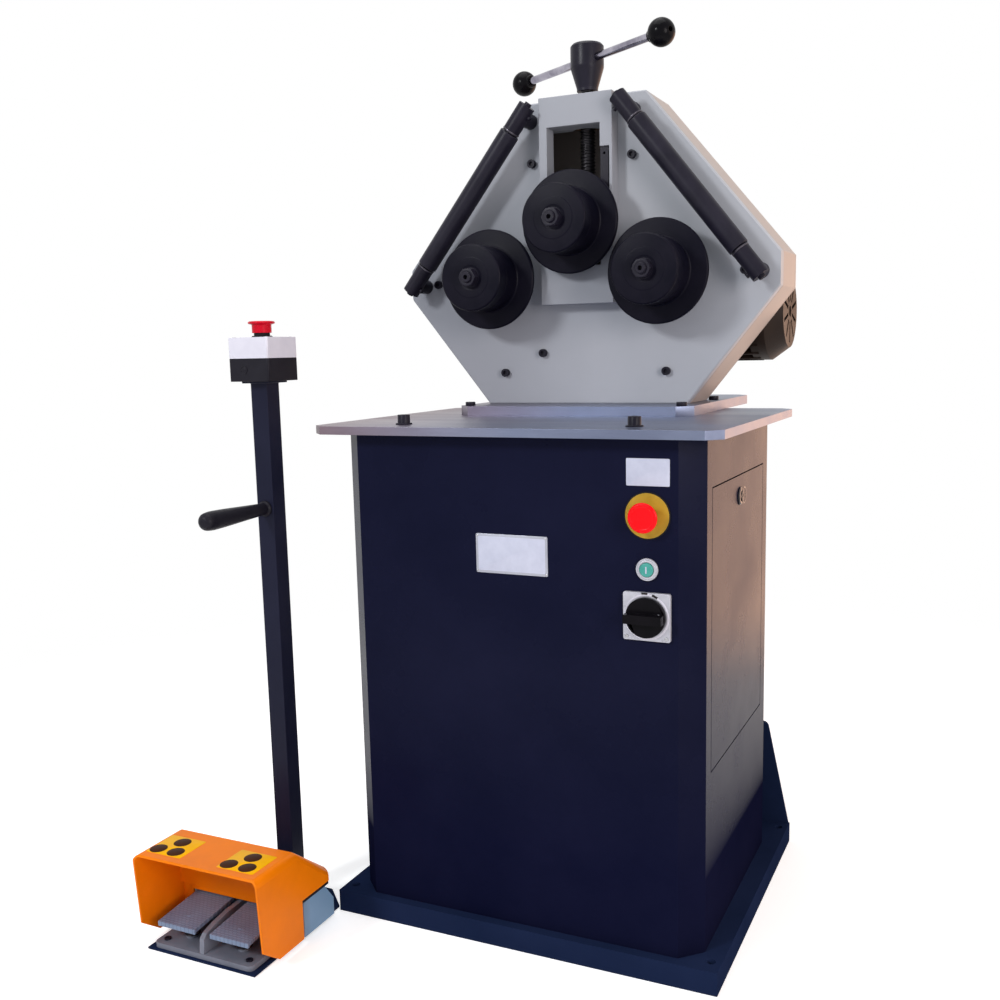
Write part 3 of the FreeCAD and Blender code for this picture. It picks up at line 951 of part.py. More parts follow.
def electrics():
    """Mounting plate inside the cabinet with contactors, a relay and the control transformer."""
    inner = (f"{CAB_FRONT} + cabinet_sheet", f"{CAB_REAR} - cabinet_sheet")
    top = "(panel_low + panel_height)"
    plate = block("mounting_plate", ("panel_x", "panel_x + panel_sheet"), inner, ("panel_low", top))
    skin = "panel_x + panel_sheet"
    face = (f"{skin} - slide_gap", f"{skin} + contactor_depth")
    middle = f"{top} - rail_drop"
    rail = block("din_rail", (face[0], f"{skin} + rail_rise"),
                 (f"{CAB_FRONT} + rail_inset", f"{CAB_FRONT} + rail_inset + rail_length"),
                 (f"{middle} - rail_height/2", f"{middle} + rail_height/2"))
    contactors = []
    for i in range(3):
        start = f"({CAB_FRONT} + rail_inset + 2*rail_rise + {i}*(contactor_width + rail_rise))"
        body = block(f"contactor_{i}", face, (start, f"{start} + contactor_width"),
                     (f"{middle} - contactor_height/2", f"{middle} + contactor_height/2"))
        steps = [block(f"contactor_step_{i}_{k}",
                       (f"{skin} + contactor_depth*0.6", f"{skin} + contactor_depth + 1"),
                       (f"{start} - 1", f"{start} + contactor_width + 1"), z)
                 for k, z in enumerate(((f"{middle} - contactor_height", f"{middle} - contactor_height*0.28"),
                                        (f"{middle} + contactor_height*0.28", f"{middle} + contactor_height")))]
        contactors.append(cut(f"contactor_stepped_{i}", body, *steps))
    start = f"({CAB_FRONT} + relay_inset)"
    relay = block("relay", (face[0], f"{skin} + contactor_depth*0.8"), (start, f"{start} + contactor_width/2"),
                  (f"{middle} - contactor_height/2", f"{middle} + contactor_height/2"))
    near = f"({CAB_FRONT} + coil_inset)"
    coil = block("transformer", face, (near, f"{near} + coil_size"),
                 ("panel_low + coil_rise", "panel_low + coil_rise + coil_size*0.9"))
    foot = block("transformer_foot", (face[0], f"{skin} + rail_rise/2"),
                 (f"{near} - coil_flange", f"{near} + coil_size + coil_flange"),
                 ("panel_low + coil_rise - coil_flange", "panel_low + coil_rise + coil_size*0.9 + coil_flange"))
    node(fuse("electrical_panel", plate, rail, *contactors, relay, coil, foot))


def console_frame():
    """Ground plate with cut rear corners, the square pole with its head plate, and the welded-on handle."""
    half = "console_width/2"
    node(prism("console_base_plate", "Z", [(f"console_x - {half}", "console_front"),
                                           (f"console_x + {half}", "console_front"),
                                           (f"console_x + {half}", f"{CONSOLE_REAR} - console_corner"),
                                           (f"console_x + {half} - console_corner", CONSOLE_REAR),
                                           (f"console_x - {half} + console_corner", CONSOLE_REAR),
                                           (f"console_x - {half}", f"{CONSOLE_REAR} - console_corner")],
               "0", "console_plate"))
    span = ("console_x - pole_size/2", "console_x + pole_size/2")
    tube = block("pole_skin", span, (POLE_FRONT, "pole_y + pole_size/2"), ("console_plate", "pole_top"))
    inner = block("pole_room", (f"{span[0]} + pole_wall", f"{span[1]} - pole_wall"),
                  (f"{POLE_FRONT} + pole_wall", "pole_y + pole_size/2 - pole_wall"),
                  ("console_plate - 1", "pole_top + 1"))
    cap = block("pole_head_plate", ("console_x - pole_head_size/2", "console_x + pole_head_size/2"),
                ("pole_y - pole_head_size/2", "pole_y + pole_head_size/2"), ("pole_top", "stop_box_low"))
    node(fuse("console_pole", cut("pole_tube", tube, inner), cap))
    tip = "(grip_length - grip_tip)"
    grip = lathe("grip_turned", "Z", [("0", "0"), ("grip_root", "0"), ("grip_root", "grip_weld"),
                                      ("grip_tip", tip),
                                      ("grip_tip*0.94", f"{tip} + grip_tip*0.34"),
                                      ("grip_tip*0.77", f"{tip} + grip_tip*0.64"),
                                      ("grip_tip*0.5", f"{tip} + grip_tip*0.87"),
                                      ("grip_tip*0.17", f"{tip} + grip_tip*0.985"),
                                      ("0", "grip_length")], ("0", "0", "0"))
    node(place(together("console_handle", [grip]), ("console_x", POLE_FRONT, "grip_z"),
               FreeCAD.Rotation(V(1, 0, 0), 90)))


def stop_box():
    """Two-part box with a hollow inside; the lid holds the collar of the emergency stop."""
    def shell(name, low, high, closed_low, closed_high):
        half = "stop_box_size/2"
        skin = prism(f"{name}_skin", "Z", [(f"console_x - {half}", f"pole_y - {half}"),
                                           (f"console_x + {half}", f"pole_y - {half}"),
                                           (f"console_x + {half}", f"pole_y + {half}"),
                                           (f"console_x - {half}", f"pole_y + {half}")],
                     low, f"{high} - ({low})")
        soften(skin, lambda edge: along(edge, "Z"), "stop_box_corner")
        inset = "(stop_box_size/2 - stop_box_wall)"
        room = block(f"{name}_room", (f"console_x - {inset}", f"console_x + {inset}"),
                     (f"pole_y - {inset}", f"pole_y + {inset}"),
                     (f"{low} + {closed_low}", f"{high} - {closed_high}"))
        return cut(f"{name}_shell", skin, room)

    split = "(stop_box_low + stop_box_split)"
    top = "(stop_box_low + stop_box_height)"
    node(together("console_box", [shell("box_lower", "stop_box_low", split, "stop_box_wall", "(-1)")]))
    collar = rod("console_collar", "Z", ("console_x", "pole_y", f"{top} - 1"), "estop_collar_radius",
                 "stop_collar_rise + 1")
    lid = fuse("lid_with_collar", shell("box_upper", split, top, "(-1)", "stop_box_wall"), collar)
    bore = rod("console_collar_bore", "Z", ("console_x", "pole_y", f"{top} - 3*stop_box_wall"),
               "estop_stem_radius + run_gap", "stop_collar_rise + 6*stop_box_wall")
    node(cut("console_lid", lid, bore))
    cap_z = f"({top} + mushroom_gap)"
    low = f"{cap_z} + mushroom_seat - run_gap - stem_length"
    node(rod("console_estop_stem", "Z", ("console_x", "pole_y", low), "estop_stem_radius", "stem_length"))
    mushroom("console_estop_cap", ("console_x", "pole_y", cap_z), FreeCAD.Rotation())


def pedal_unit():
    """Cast base with a rear switch housing, a ribbed middle wall and trunnions for the two pedals."""
    front = "(console_front + cast_front)"
    half = "cast_width/2"
    floor_top = "(console_plate + cast_thick)"
    floor = prism("cast_floor", "Z", [(f"console_x - {half}", front), (f"console_x + {half}", front),
                                      (f"console_x + {half}", "console_front + house_rear"),
                                      (f"console_x - {half}", "console_front + house_rear")],
                  "console_plate", "cast_thick")
    soften(floor, lambda edge: along(edge, "Z"), "cast_corner")
    house = prism("cast_house", "X", [("console_front + house_nose", "console_plate"),
                                      ("console_front + house_rear", "console_plate"),
                                      ("console_front + house_rear", "house_step"),
                                      ("console_front + guard_tail - guard_sheet - pin_inset", "house_height"),
                                      ("console_front + house_mid", UNDER_TAIL.format("house_mid")),
                                      ("console_front + house_nose", UNDER_TAIL.format("house_nose"))],
                  "console_x - house_width/2", "house_width")
    bosses = rod("guard_bosses", "X", ("console_x - guard_width/2 + guard_sheet",
                                       "console_front + boss_inset", "guard_tail_low + boss_rise"),
                 "bolt_shank", "guard_width - 2*guard_sheet")
    rib = prism("cast_rib", "X", [(f"{front} + rib_start", floor_top),
                                  (f"{front} + rib_start + rib_lean", f"{floor_top} + rib_front"),
                                  (f"{front} + rib_nose", f"{floor_top} + rib_front + rib_step"),
                                  (f"{front} + rib_crest", f"{floor_top} + rib_rise - rib_step"),
                                  (f"{front} + rib_shoulder", f"{floor_top} + rib_rise - rib_start"),
                                  (f"{front} + rib_length", f"{floor_top} + rib_rise"),
                                  (f"{front} + rib_length", floor_top)],
                "console_x - rib_thick/2", "rib_thick")
    seats = [rod(f"spring_seat_{i}", "Z", (x, f"{PEDAL_Y} - pedal_arm", f"{floor_top} - 1"), "spring_seat",
                 "cast_thick/2")
             for i, x in enumerate(("console_x - pedal_centre", "console_x + pedal_centre"))]
    reach = f"({half} - cast_hole_inset)"
    holes = [rod(f"cast_hole_{i}", "Z", (x, f"{front} + cast_hole_inset", "0"), "cast_hole", "3*cast_thick")
             for i, x in enumerate((f"console_x - {reach}", f"console_x + {reach}"))]
    pins = rod("pedal_trunnion", "X", (f"console_x - {half} + pin_inset", PEDAL_Y, PEDAL_Z), "pedal_pin",
               "cast_width - 2*pin_inset")
    ears = [block(f"cast_ear_{i}", x, (f"{PEDAL_Y} - ear_size", "console_front + house_front + ear_size"),
                  (floor_top, f"{PEDAL_Z} + ear_size"))
            for i, x in enumerate(((f"console_x - {half}", f"console_x - {half} + ear_thick"),
                                   (f"console_x + {half} - ear_thick", f"console_x + {half}")))]
    node(cut("pedal_base", fuse("pedal_casting", floor, house, bosses, rib, pins, *seats, *ears), *holes))
    for side, sign in (("left", "-"), ("right", "+")):
        middle = f"(console_x {sign} pedal_centre)"
        tilt = "pedal_lift"
        y = "(console_front + pedal_front)"
        rear = f"({y} + pedal_length)"
        tread = prism(f"{side}_tread", "X", [(y, "pedal_low - pedal_lip"), (y, "pedal_low + pedal_thick"),
                                             (rear, f"pedal_low + {tilt} + pedal_thick"),
                                             (rear, f"pedal_low + {tilt}"), (f"{y} + pedal_skirt", "pedal_low"),
                                             (f"{y} + pedal_skirt", "pedal_low - pedal_lip")],
                      f"{middle} - pedal_width/2", "pedal_width")
        barrel = rod(f"{side}_knuckle", "X", (f"{middle} - pedal_width/2 + knuckle_inset", PEDAL_Y, PEDAL_Z),
                     "2*pedal_pin", "pedal_width - 2*knuckle_inset")
        plunger = rod(f"{side}_plunger", "Z", (middle, f"{PEDAL_Y} - pedal_arm", f"{PEDAL_Z} - plunger_drop"),
                      "plunger_radius", "plunger_length")
        webs = [block(f"{side}_web_{i}",
                      (f"{middle} + {offset} - web_thick/2", f"{middle} + {offset} + web_thick/2"),
                      (f"{PEDAL_Y} - web_reach", PEDAL_Y),
                      (f"{PEDAL_Z} - web_drop", "pedal_low + pedal_lift*0.7"))
                for i, offset in enumerate(sides("web_offset"))]
        bore = rod(f"{side}_knuckle_bore", "X", (f"{middle} - pedal_width", PEDAL_Y, PEDAL_Z),
                   "pedal_pin + run_gap", "2*pedal_width")
        node(cut(f"{side}_pedal", fuse(f"{side}_pedal_solid", tread, barrel, plunger, *webs), bore))


def guard():
    """Bent guard over the pedals: open at the front, with cheeks at both sides and a sloping tail."""
    front = "(console_front - guard_front)"
    low_front = "(console_front + guard_lean)"
    crease = "(console_front + guard_crease)"
    tail = "(console_front + guard_tail)"
    foot = "(console_front + guard_foot_front)"
    heel = "(console_front + guard_foot_rear)"

    def side_view(name, wall, low, length, drop):
        """Side view of the guard: wall shrinks it from above, drop opens it below and in front."""
        heights = {"chin": f"guard_side_low - 20*({drop})", "brow": f"guard_top - 2*guard_sheet - {wall}",
                   "roof": f"guard_top - {wall}", "tail": f"guard_tail_low - 27*({drop})",
                   "foot": f"guard_foot - 10*({drop})"}
        rear = f"{tail} - {wall}"
        points = [(low_front, heights["chin"]), (f"{front} - 2*({drop})", heights["brow"]),
                  (f"{front} + guard_lean - 3*({drop})", heights["roof"]), (crease, heights["roof"]),
                  (rear, f"guard_tail_top - 0.7*({wall})"), (rear, heights["tail"]), (heel, heights["tail"]),
                  (heel, heights["foot"]), (foot, heights["foot"])]
        return prism(name, "X", points, low, length)

    def round_shoulders(skin, radius):
        roof = SIZE["guard_tail_top"] - 2*SIZE["guard_sheet"]
        soften(skin, lambda edge: not along(edge, "X") and not along(edge, "Z") and edge.BoundBox.ZMin > roof
               and edge.Length > SIZE["guard_corner"], radius)

    outer = side_view("guard_skin", "0", "console_x - guard_width/2", "guard_width", "0")
    round_shoulders(outer, "guard_corner")
    inner = side_view("guard_room", "guard_sheet", "console_x - guard_width/2 + guard_sheet",
                      "guard_width - 2*guard_sheet", "guard_sheet")
    round_shoulders(inner, "guard_corner - guard_sheet")
    wall = block("guard_inner_wall", ("console_x - guard_width/2 + guard_sheet/2",
                                      "console_x + guard_width/2 - guard_sheet/2"),
                 (f"{crease} - guard_sheet", crease),
                 ("guard_wall_low", "guard_top - guard_sheet - guard_corner/2"))
    lintel = block("guard_inner_lintel", ("console_x - guard_width/2 + guard_corner",
                                          "console_x + guard_width/2 - guard_corner"),
                   (f"{crease} - guard_sheet", crease), ("guard_wall_low", "guard_top - guard_sheet/2"))
    node(fuse("pedal_guard", cut("guard_shell", outer, inner), wall, lintel))


base_tray()
cabinet()
back_cover()
door()
door_lock()
plates()
screws()
head()
slide()
carriage()
feed()
rolls()
gear_train()
gearbox()
motor()
guides()
panel_controls()
electrics()
console_frame()
stop_box()
pedal_unit()
guard()
doc.recompute()

broken = [item.Label for item in doc.Objects if {"Invalid", "Error"} & set(item.State)]
if broken:
    raise RuntimeError(f"failed features: {broken}")
for piece in NODES:
    if piece.Shape.isNull() or not piece.Shape.isValid() or not piece.Shape.Solids:
        raise RuntimeError(f"{piece.Label} has no sound solid")
os.makedirs("parts", exist_ok=True)
for piece in NODES:
    piece.Shape.exportStep(f"parts/{piece.Label}.step")
print(len(NODES), "nodes,", sum(len(piece.Shape.Solids) for piece in NODES), "solids")
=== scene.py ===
import bpy
import bmesh
import math
from mathutils import Matrix, Vector


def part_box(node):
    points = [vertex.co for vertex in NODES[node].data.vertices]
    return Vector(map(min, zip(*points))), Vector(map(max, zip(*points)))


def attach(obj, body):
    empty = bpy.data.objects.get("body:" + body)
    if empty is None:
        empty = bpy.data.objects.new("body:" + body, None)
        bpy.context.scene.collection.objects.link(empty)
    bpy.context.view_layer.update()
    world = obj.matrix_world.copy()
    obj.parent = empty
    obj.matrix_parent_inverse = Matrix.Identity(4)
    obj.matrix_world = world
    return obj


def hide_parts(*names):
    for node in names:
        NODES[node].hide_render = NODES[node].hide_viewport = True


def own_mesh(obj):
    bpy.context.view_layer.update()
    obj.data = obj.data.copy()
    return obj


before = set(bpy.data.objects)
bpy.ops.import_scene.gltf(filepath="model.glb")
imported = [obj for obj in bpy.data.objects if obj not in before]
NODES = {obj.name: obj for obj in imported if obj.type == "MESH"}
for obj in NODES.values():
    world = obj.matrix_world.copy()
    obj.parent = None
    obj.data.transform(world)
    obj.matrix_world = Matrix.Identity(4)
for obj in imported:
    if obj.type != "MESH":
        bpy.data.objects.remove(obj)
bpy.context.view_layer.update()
MM = 0.001
X, Y, Z = range(3)
X_AXIS = Vector((1, 0, 0))
Y_AXIS = Vector((0, 1, 0))
Z_AXIS = Vector((0, 0, 1))


# ---------------------------------------------------------------- places of the CAD pieces

def low_end(node_name, axis):
    """Low end of a CAD piece along an axis of the part, in mm to a tenth."""
    return round(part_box(node_name)[0][axis] / MM, 1)


def high_end(node_name, axis):
    """High end of a CAD piece along an axis of the part, in mm to a tenth."""
    return round(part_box(node_name)[1][axis] / MM, 1)


def half_size(node_name, axis):
    """Half of a CAD piece's size along an axis of the part, in mm."""
    return (high_end(node_name, axis) - low_end(node_name, axis)) / 2


def centre(node_name, axis):
    """Middle of a CAD piece along an axis of the part, in mm."""
    return (low_end(node_name, axis) + high_end(node_name, axis)) / 2


# ---------------------------------------------------------------- materials

CLOUD_LOW = 0.3
CLOUD_HIGH = 0.7
SPECK_EDGE = 0.08
PORE_DEPTH = 0.0004
RING_DEPTH = 0.0001
RING_TURN = 0.314
TREAD_DEPTH = 0.0006
TREAD_GROOVE = 0.0007
GROOVE_SHADE_SHARE = 0.55


def shader_node(tree, kind, **inputs):
    """A shader node with its plain inputs set; an underscore in a name stands for a space."""
    made = tree.nodes.new(kind)
    for name, value in inputs.items():
        made.inputs[name.replace("_", " ")].default_value = value
    return made


def ramp(tree, source, stops):
    """A colour that follows a value socket through stops of (place, colour)."""
    made = tree.nodes.new("ShaderNodeValToRGB")
    elements = made.color_ramp.elements
    while len(elements) < len(stops):
        elements.new(0.5)
    for element, (place, colour) in zip(elements, stops):
        element.position = place
        element.color = (*colour, 1)
    tree.links.new(source, made.inputs[0])
    return made.outputs[0]


def mixed(tree, share, first, second):
    """Blends a colour socket towards a plain colour by a share socket."""
    blend = tree.nodes.new("ShaderNodeMix")
    blend.data_type = "RGBA"
    tree.links.new(share, blend.inputs["Factor"])
    tree.links.new(first, blend.inputs["A"])
    blend.inputs["B"].default_value = (*second, 1)
    return blend.outputs["Result"]


def along_axis(tree, axis, start, stop, low=0.0, high=1.0):
    """A value that goes from low to high between two places on an axis of the part, in metres."""
    split = tree.nodes.new("ShaderNodeSeparateXYZ")
    tree.links.new(tree.nodes.new("ShaderNodeTexCoord").outputs["Object"], split.inputs[0])
    spread = shader_node(tree, "ShaderNodeMapRange", From_Min=start, From_Max=stop, To_Min=low, To_Max=high)
    tree.links.new(split.outputs[axis], spread.inputs["Value"])
    return spread.outputs["Result"]


def finish(name, dark, light, rough=(0.3, 0.45), metallic=0.0, scale=9.0, stretch=(1, 1, 1), grain=700.0,
           relief=0.15, grain_stretch=(1, 1, 1), specular=0.5, speck=None, speck_scale=60.0,
           speck_share=0.66, drift=None, gloss_drift=None):
    """A finish whose colour and gloss vary between two values, over a fine relief, with optional specks.

    drift is (axis, start, stop, colour): the colour goes over to another along the part.
    gloss_drift is (axis, start, stop, low, high): the shine changes along the part.
    """
    made = bpy.data.materials.new(name)
    made.use_nodes = True
    tree = made.node_tree
    shader = tree.nodes["Principled BSDF"]
    shader.inputs["Metallic"].default_value = metallic
    shader.inputs["Specular IOR Level"].default_value = specular
    places = tree.nodes.new("ShaderNodeTexCoord").outputs["Object"]
    wide = shader_node(tree, "ShaderNodeMapping", Scale=stretch)
    tree.links.new(places, wide.inputs["Vector"])
    cloud = shader_node(tree, "ShaderNodeTexNoise", Scale=scale, Detail=6.0, Roughness=0.6)
    tree.links.new(wide.outputs[0], cloud.inputs["Vector"])
    colour = ramp(tree, cloud.outputs["Fac"], [(CLOUD_LOW, dark), (CLOUD_HIGH, light)])
    if drift:
        axis, start, stop, towards_colour = drift
        colour = mixed(tree, along_axis(tree, axis, start, stop), colour, towards_colour)
    if gloss_drift:
        tree.links.new(along_axis(tree, *gloss_drift), shader.inputs["Specular IOR Level"])
    if speck:
        dots = shader_node(tree, "ShaderNodeTexNoise", Scale=speck_scale, Detail=8.0, Roughness=0.7)
        tree.links.new(wide.outputs[0], dots.inputs["Vector"])
        share = ramp(tree, dots.outputs["Fac"],
                     [(speck_share, (0, 0, 0)), (speck_share + SPECK_EDGE, (1, 1, 1))])
        colour = mixed(tree, share, colour, speck)
    tree.links.new(colour, shader.inputs["Base Color"])
    gloss = shader_node(tree, "ShaderNodeMapRange", From_Min=CLOUD_LOW, From_Max=CLOUD_HIGH,
                        To_Min=rough[0], To_Max=rough[1])
    tree.links.new(cloud.outputs["Fac"], gloss.inputs["Value"])
    tree.links.new(gloss.outputs["Result"], shader.inputs["Roughness"])
    fine = shader_node(tree, "ShaderNodeMapping", Scale=grain_stretch)
    tree.links.new(places, fine.inputs["Vector"])
    pores = shader_node(tree, "ShaderNodeTexNoise", Scale=grain, Detail=3.0)
    tree.links.new(fine.outputs[0], pores.inputs["Vector"])
    bump = shader_node(tree, "ShaderNodeBump", Strength=relief, Distance=PORE_DEPTH)
    tree.links.new(pores.outputs["Fac"], bump.inputs["Height"])
    tree.links.new(bump.outputs["Normal"], shader.inputs["Normal"])
    return made


def over_relief(made, height, strength, distance):
    """Adds a second relief, from a height socket, on top of a finish's own."""
    tree = made.node_tree
    shader = tree.nodes["Principled BSDF"]
    first = shader.inputs["Normal"].links[0].from_node
    second = shader_node(tree, "ShaderNodeBump", Strength=strength, Distance=distance)
    tree.links.new(height, second.inputs["Height"])
    tree.links.new(first.outputs["Normal"], second.inputs["Normal"])
    tree.links.new(second.outputs["Normal"], shader.inputs["Normal"])


def turned_finish(name, dark, light, pitch=0.0011, rings_relief=0.25, **more):
    """A lathe finish: fine rings round the piece's own axis over the varying colour."""
    made = finish(name, dark, light, relief=0.05, **more)
    tree = made.node_tree
    rings = shader_node(tree, "ShaderNodeTexWave", Scale=RING_TURN / pitch, Distortion=0.4, Detail=1.0)
    rings.wave_type = "RINGS"
    rings.rings_direction = "Z"
    tree.links.new(tree.nodes.new("ShaderNodeTexCoord").outputs["Object"], rings.inputs["Vector"])
    over_relief(made, rings.outputs["Fac"], rings_relief, RING_DEPTH)
    return made


def tread_finish(name, dark, light, groove_shade, cell=(0.0072, 0.0048), **more):
    """A moulded tread: rows of small raised bricks, with painted shade in the groove round each."""
    made = finish(name, dark, light, **more)
    tree = made.node_tree
    shader = tree.nodes["Principled BSDF"]
    bricks = shader_node(tree, "ShaderNodeTexBrick", Scale=1.0, Mortar_Size=TREAD_GROOVE, Mortar_Smooth=0.4,
                         Brick_Width=cell[0], Row_Height=cell[1])
    bricks.inputs["Color1"].default_value = (1, 1, 1, 1)
    bricks.inputs["Color2"].default_value = (1, 1, 1, 1)
    bricks.inputs["Mortar"].default_value = (0, 0, 0, 1)
    tree.links.new(tree.nodes.new("ShaderNodeTexCoord").outputs["Object"], bricks.inputs["Vector"])
    colour = shader.inputs["Base Color"].links[0].from_socket
    share = tree.nodes.new("ShaderNodeMath")
    share.operation = "MULTIPLY"
    share.inputs[1].default_value = GROOVE_SHADE_SHARE
    tree.links.new(bricks.outputs["Fac"], share.inputs[0])
    tree.links.new(mixed(tree, share.outputs[0], colour, groove_shade), shader.inputs["Base Color"])
    over_relief(made, bricks.outputs["Color"], 0.8, TREAD_DEPTH)
    return made


PANEL_PLATE = 0.005
PANEL_FADE = 0.002
PANEL_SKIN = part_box("electrical_panel")[0][0] + PANEL_PLATE

